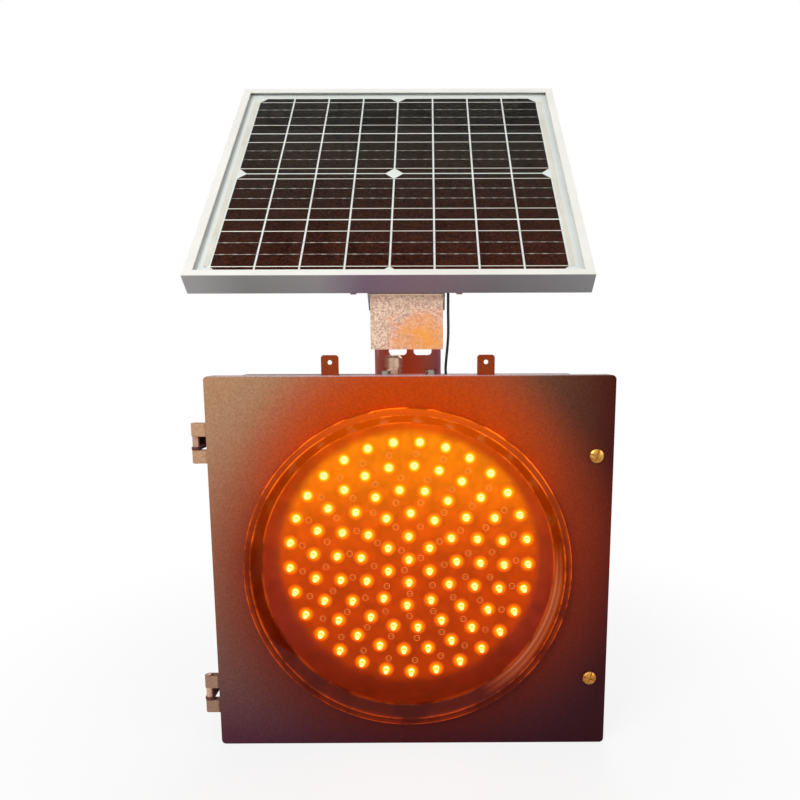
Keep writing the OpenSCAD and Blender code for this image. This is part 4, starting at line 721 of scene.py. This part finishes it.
# Panel lead: 2.8 mm black cable from the junction box, under the right arm in two clips, down
# beside the bracket and through the grommet into the housing, to the charge controller.
LEAD_RADIUS = 1.4 * MM
panel_path = route([
    (22.2, 215, 491), (25.2, 215, 491), (28.2, 215, 491), (36, 206.2, 482.2), (50, 192.1, 468),
    (65, 173.1, 448.1), (66, 156.9, 422), (56, 134.1, 388.2), (45, 98, 353), (42, 69, 326), (42, 56, 308),
    (42, 51, 286), (42, 50, 260), (42, 50, 234), (39.6, 52, 205.2), (39.6, 52, 197.2), (39.6, 52, 189.2),
    (39.6, 52, 181.2), (37, 60, 160.2), (30, 78, 122), (22, 93.5, 94), (20, 95.5, 76), (20, 95.5, 73),
    (20, 95.5, 70)])
lead = surface("panel_cable", tube(panel_path, LEAD_RADIUS), black_pvc, None, close_v=True)
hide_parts("panel_lead")
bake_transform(lead)
soften("lead_clips", 0.3 * MM, rubber)

# Lead from the flasher to the light board: 4.4 mm twin cable with slack at the hinge side, so that
# the door can swing open.
LOOM_RADIUS = 2.2 * MM
loom_path = route([
    (-35, 99.5, -40), (-38, 99.5, -40), (-41, 99.5, -40), (-70, 99, -40), (-120, 95, -36), (-160, 86, -28),
    (-174, 68, -18), (-168, 50, -8), (-142, 42, -2), (-105, 39, 0), (-72, 38.5, 0), (-69, 38.5, 0),
    (-66, 38.5, 0)])
loom = surface("door_cable", tube(loom_path, LOOM_RADIUS), black_pvc, None, close_v=True)
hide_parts("door_loom")
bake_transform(loom)

# Battery leads: a red and a black 3 mm wire from the blades up to the charge controller.
WIRE_RADIUS = 1.5 * MM
WIRE_ROUTE = [(60, 72.2, -82.2), (60, 72.2, -79.3), (60, 72.2, -76.3), (58, 74, -64.3), (50, 78, -44),
              (32, 81, -24), (16, 90, -14), (12, 95.5, -6), (12, 95.5, -3), (12, 95.5, 0)]
for name, side, jacket, slot in (("battery_wire_plus", 1, red_pvc, "wire_red"),
                                 ("battery_wire_minus", -1, black_pvc, "wire_black")):
    path = route([(side * x, y, z) for x, y, z in WIRE_ROUTE])
    wire = surface(name, tube(path, WIRE_RADIUS), jacket, "housing", close_v=True)
    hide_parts("battery_leads")

# Studio: a matt white board under the object, which keeps its shadow and fades into the white
# backdrop, a plain world, and three square soft lights.
floor_mat = started("matt_white_board", Base_Color=linear("f2f2f2"), Roughness=0.7)
place = add(floor_mat, "TexCoord").outputs["Object"]
far = add(floor_mat, "VectorMath", {0: place}, operation="LENGTH")
fade = add(floor_mat, "MapRange", {"Value": far.outputs["Value"], "From Min": 0.3, "From Max": 0.7,
                                   "To Min": 0.8}, interpolation_type="SMOOTHSTEP")
seen = add(floor_mat, "LightPath").outputs["Is Camera Ray"]
part = add(floor_mat, "Math", {0: fade.outputs[0], 1: seen}, operation="MULTIPLY")
white = add(floor_mat, "Emission", {"Color": (1, 1, 1, 1), "Strength": 1.0})
mix = add(floor_mat, "MixShader", {
    0: part.outputs[0], 1: floor_mat.node_tree.nodes["Principled BSDF"].outputs[0], 2: white.outputs[0]})
floor_mat.node_tree.links.new(mix.outputs[0], floor_mat.node_tree.nodes["Material Output"].inputs["Surface"])
FLOOR_Z = -0.1908
u = np.linspace(-8, 8, 3)
corners = np.stack([*np.meshgrid(u, u), np.full((3, 3), FLOOR_Z)], axis=-1)
surface("studio_floor", corners[None], floor_mat, None)

world = bpy.data.worlds.new("white_studio")
bpy.context.scene.world = world
world.use_nodes = True
sky = world.node_tree.nodes["Background"]
rays = add(world, "LightPath").outputs
seen = add(world, "Math", {0: rays["Is Camera Ray"], 1: rays["Is Glossy Ray"]}, operation="MAXIMUM")
white_there = add(world, "Math", {0: seen.outputs[0], 1: rays["Is Transmission Ray"]},
                  operation="MAXIMUM")
strength = add(world, "MapRange", {"Value": white_there.outputs[0], "To Min": 0.42})
world.node_tree.links.new(strength.outputs[0], sky.inputs["Strength"])
sky.inputs["Color"].default_value = (1, 1, 1, 1)


def soft_light(name, place, aim, size, power):
    """Square soft light at place, turned to aim: its -Z axis points there."""
    light = bpy.data.lights.new(name, "AREA")
    light.size, light.energy = size, power
    holder = bpy.data.objects.new(name, light)
    bpy.context.collection.objects.link(holder)
    back = np.array(place, float) - aim
    back /= np.linalg.norm(back)
    right = np.cross([0, 0, 1], back)
    right /= np.linalg.norm(right)
    turn = np.stack([right, np.cross(back, right), back], axis=1)
    holder.matrix_world = Matrix.Translation(place) @ Matrix(turn.tolist()).to_4x4()


MIDDLE, LIGHT_SIDE = np.array([0, -0.1, 0.15]), 1.6
soft_light("key_light", (-1.6, -2.2, 2.0), MIDDLE, LIGHT_SIDE, 47)
soft_light("fill_light", (2.2, -1.6, 1.0), MIDDLE, LIGHT_SIDE, 14)
soft_light("back_light", (0.6, 2.4, 1.6), MIDDLE, LIGHT_SIDE, 24)

# Camera: fitted to the door's corners, the lens circles, the lamps and the cell grid. Its focal
# length and the point that its axis meets are in pixels of the photograph, its turns in radians.
FOCUS, AXIS_X, AXIS_Y, FRAME_SIDE, SENSOR = 650.9, 430.8, 435.9, 800, 36
YAW, PITCH, ROLL = 0.0030, 0.1438, 0.0031
forward = np.array([np.sin(YAW) * np.cos(PITCH), np.cos(YAW) * np.cos(PITCH), -np.sin(PITCH)])
level_right = np.array([np.cos(YAW), -np.sin(YAW), 0])
level_down = np.cross(forward, level_right)
right = np.cos(ROLL) * level_right + np.sin(ROLL) * level_down
down = np.cos(ROLL) * level_down - np.sin(ROLL) * level_right
camera = bpy.data.cameras.new("camera")
camera.sensor_width = SENSOR
camera.lens = SENSOR * FOCUS / FRAME_SIDE
camera.shift_x, camera.shift_y = 0.5 - AXIS_X / FRAME_SIDE, AXIS_Y / FRAME_SIDE - 0.5
eye = bpy.data.objects.new("camera", camera)
bpy.context.collection.objects.link(eye)
turn = Matrix(np.stack([right, -down, -forward], axis=1).tolist()).to_4x4()
eye.matrix_world = Matrix.Translation((21.6 * MM, FRONT - 634.6 * MM, 229.3 * MM)) @ turn
bpy.context.scene.camera = eye
bpy.context.scene.view_settings.view_transform = "Standard"

bpy.context.view_layer.update()
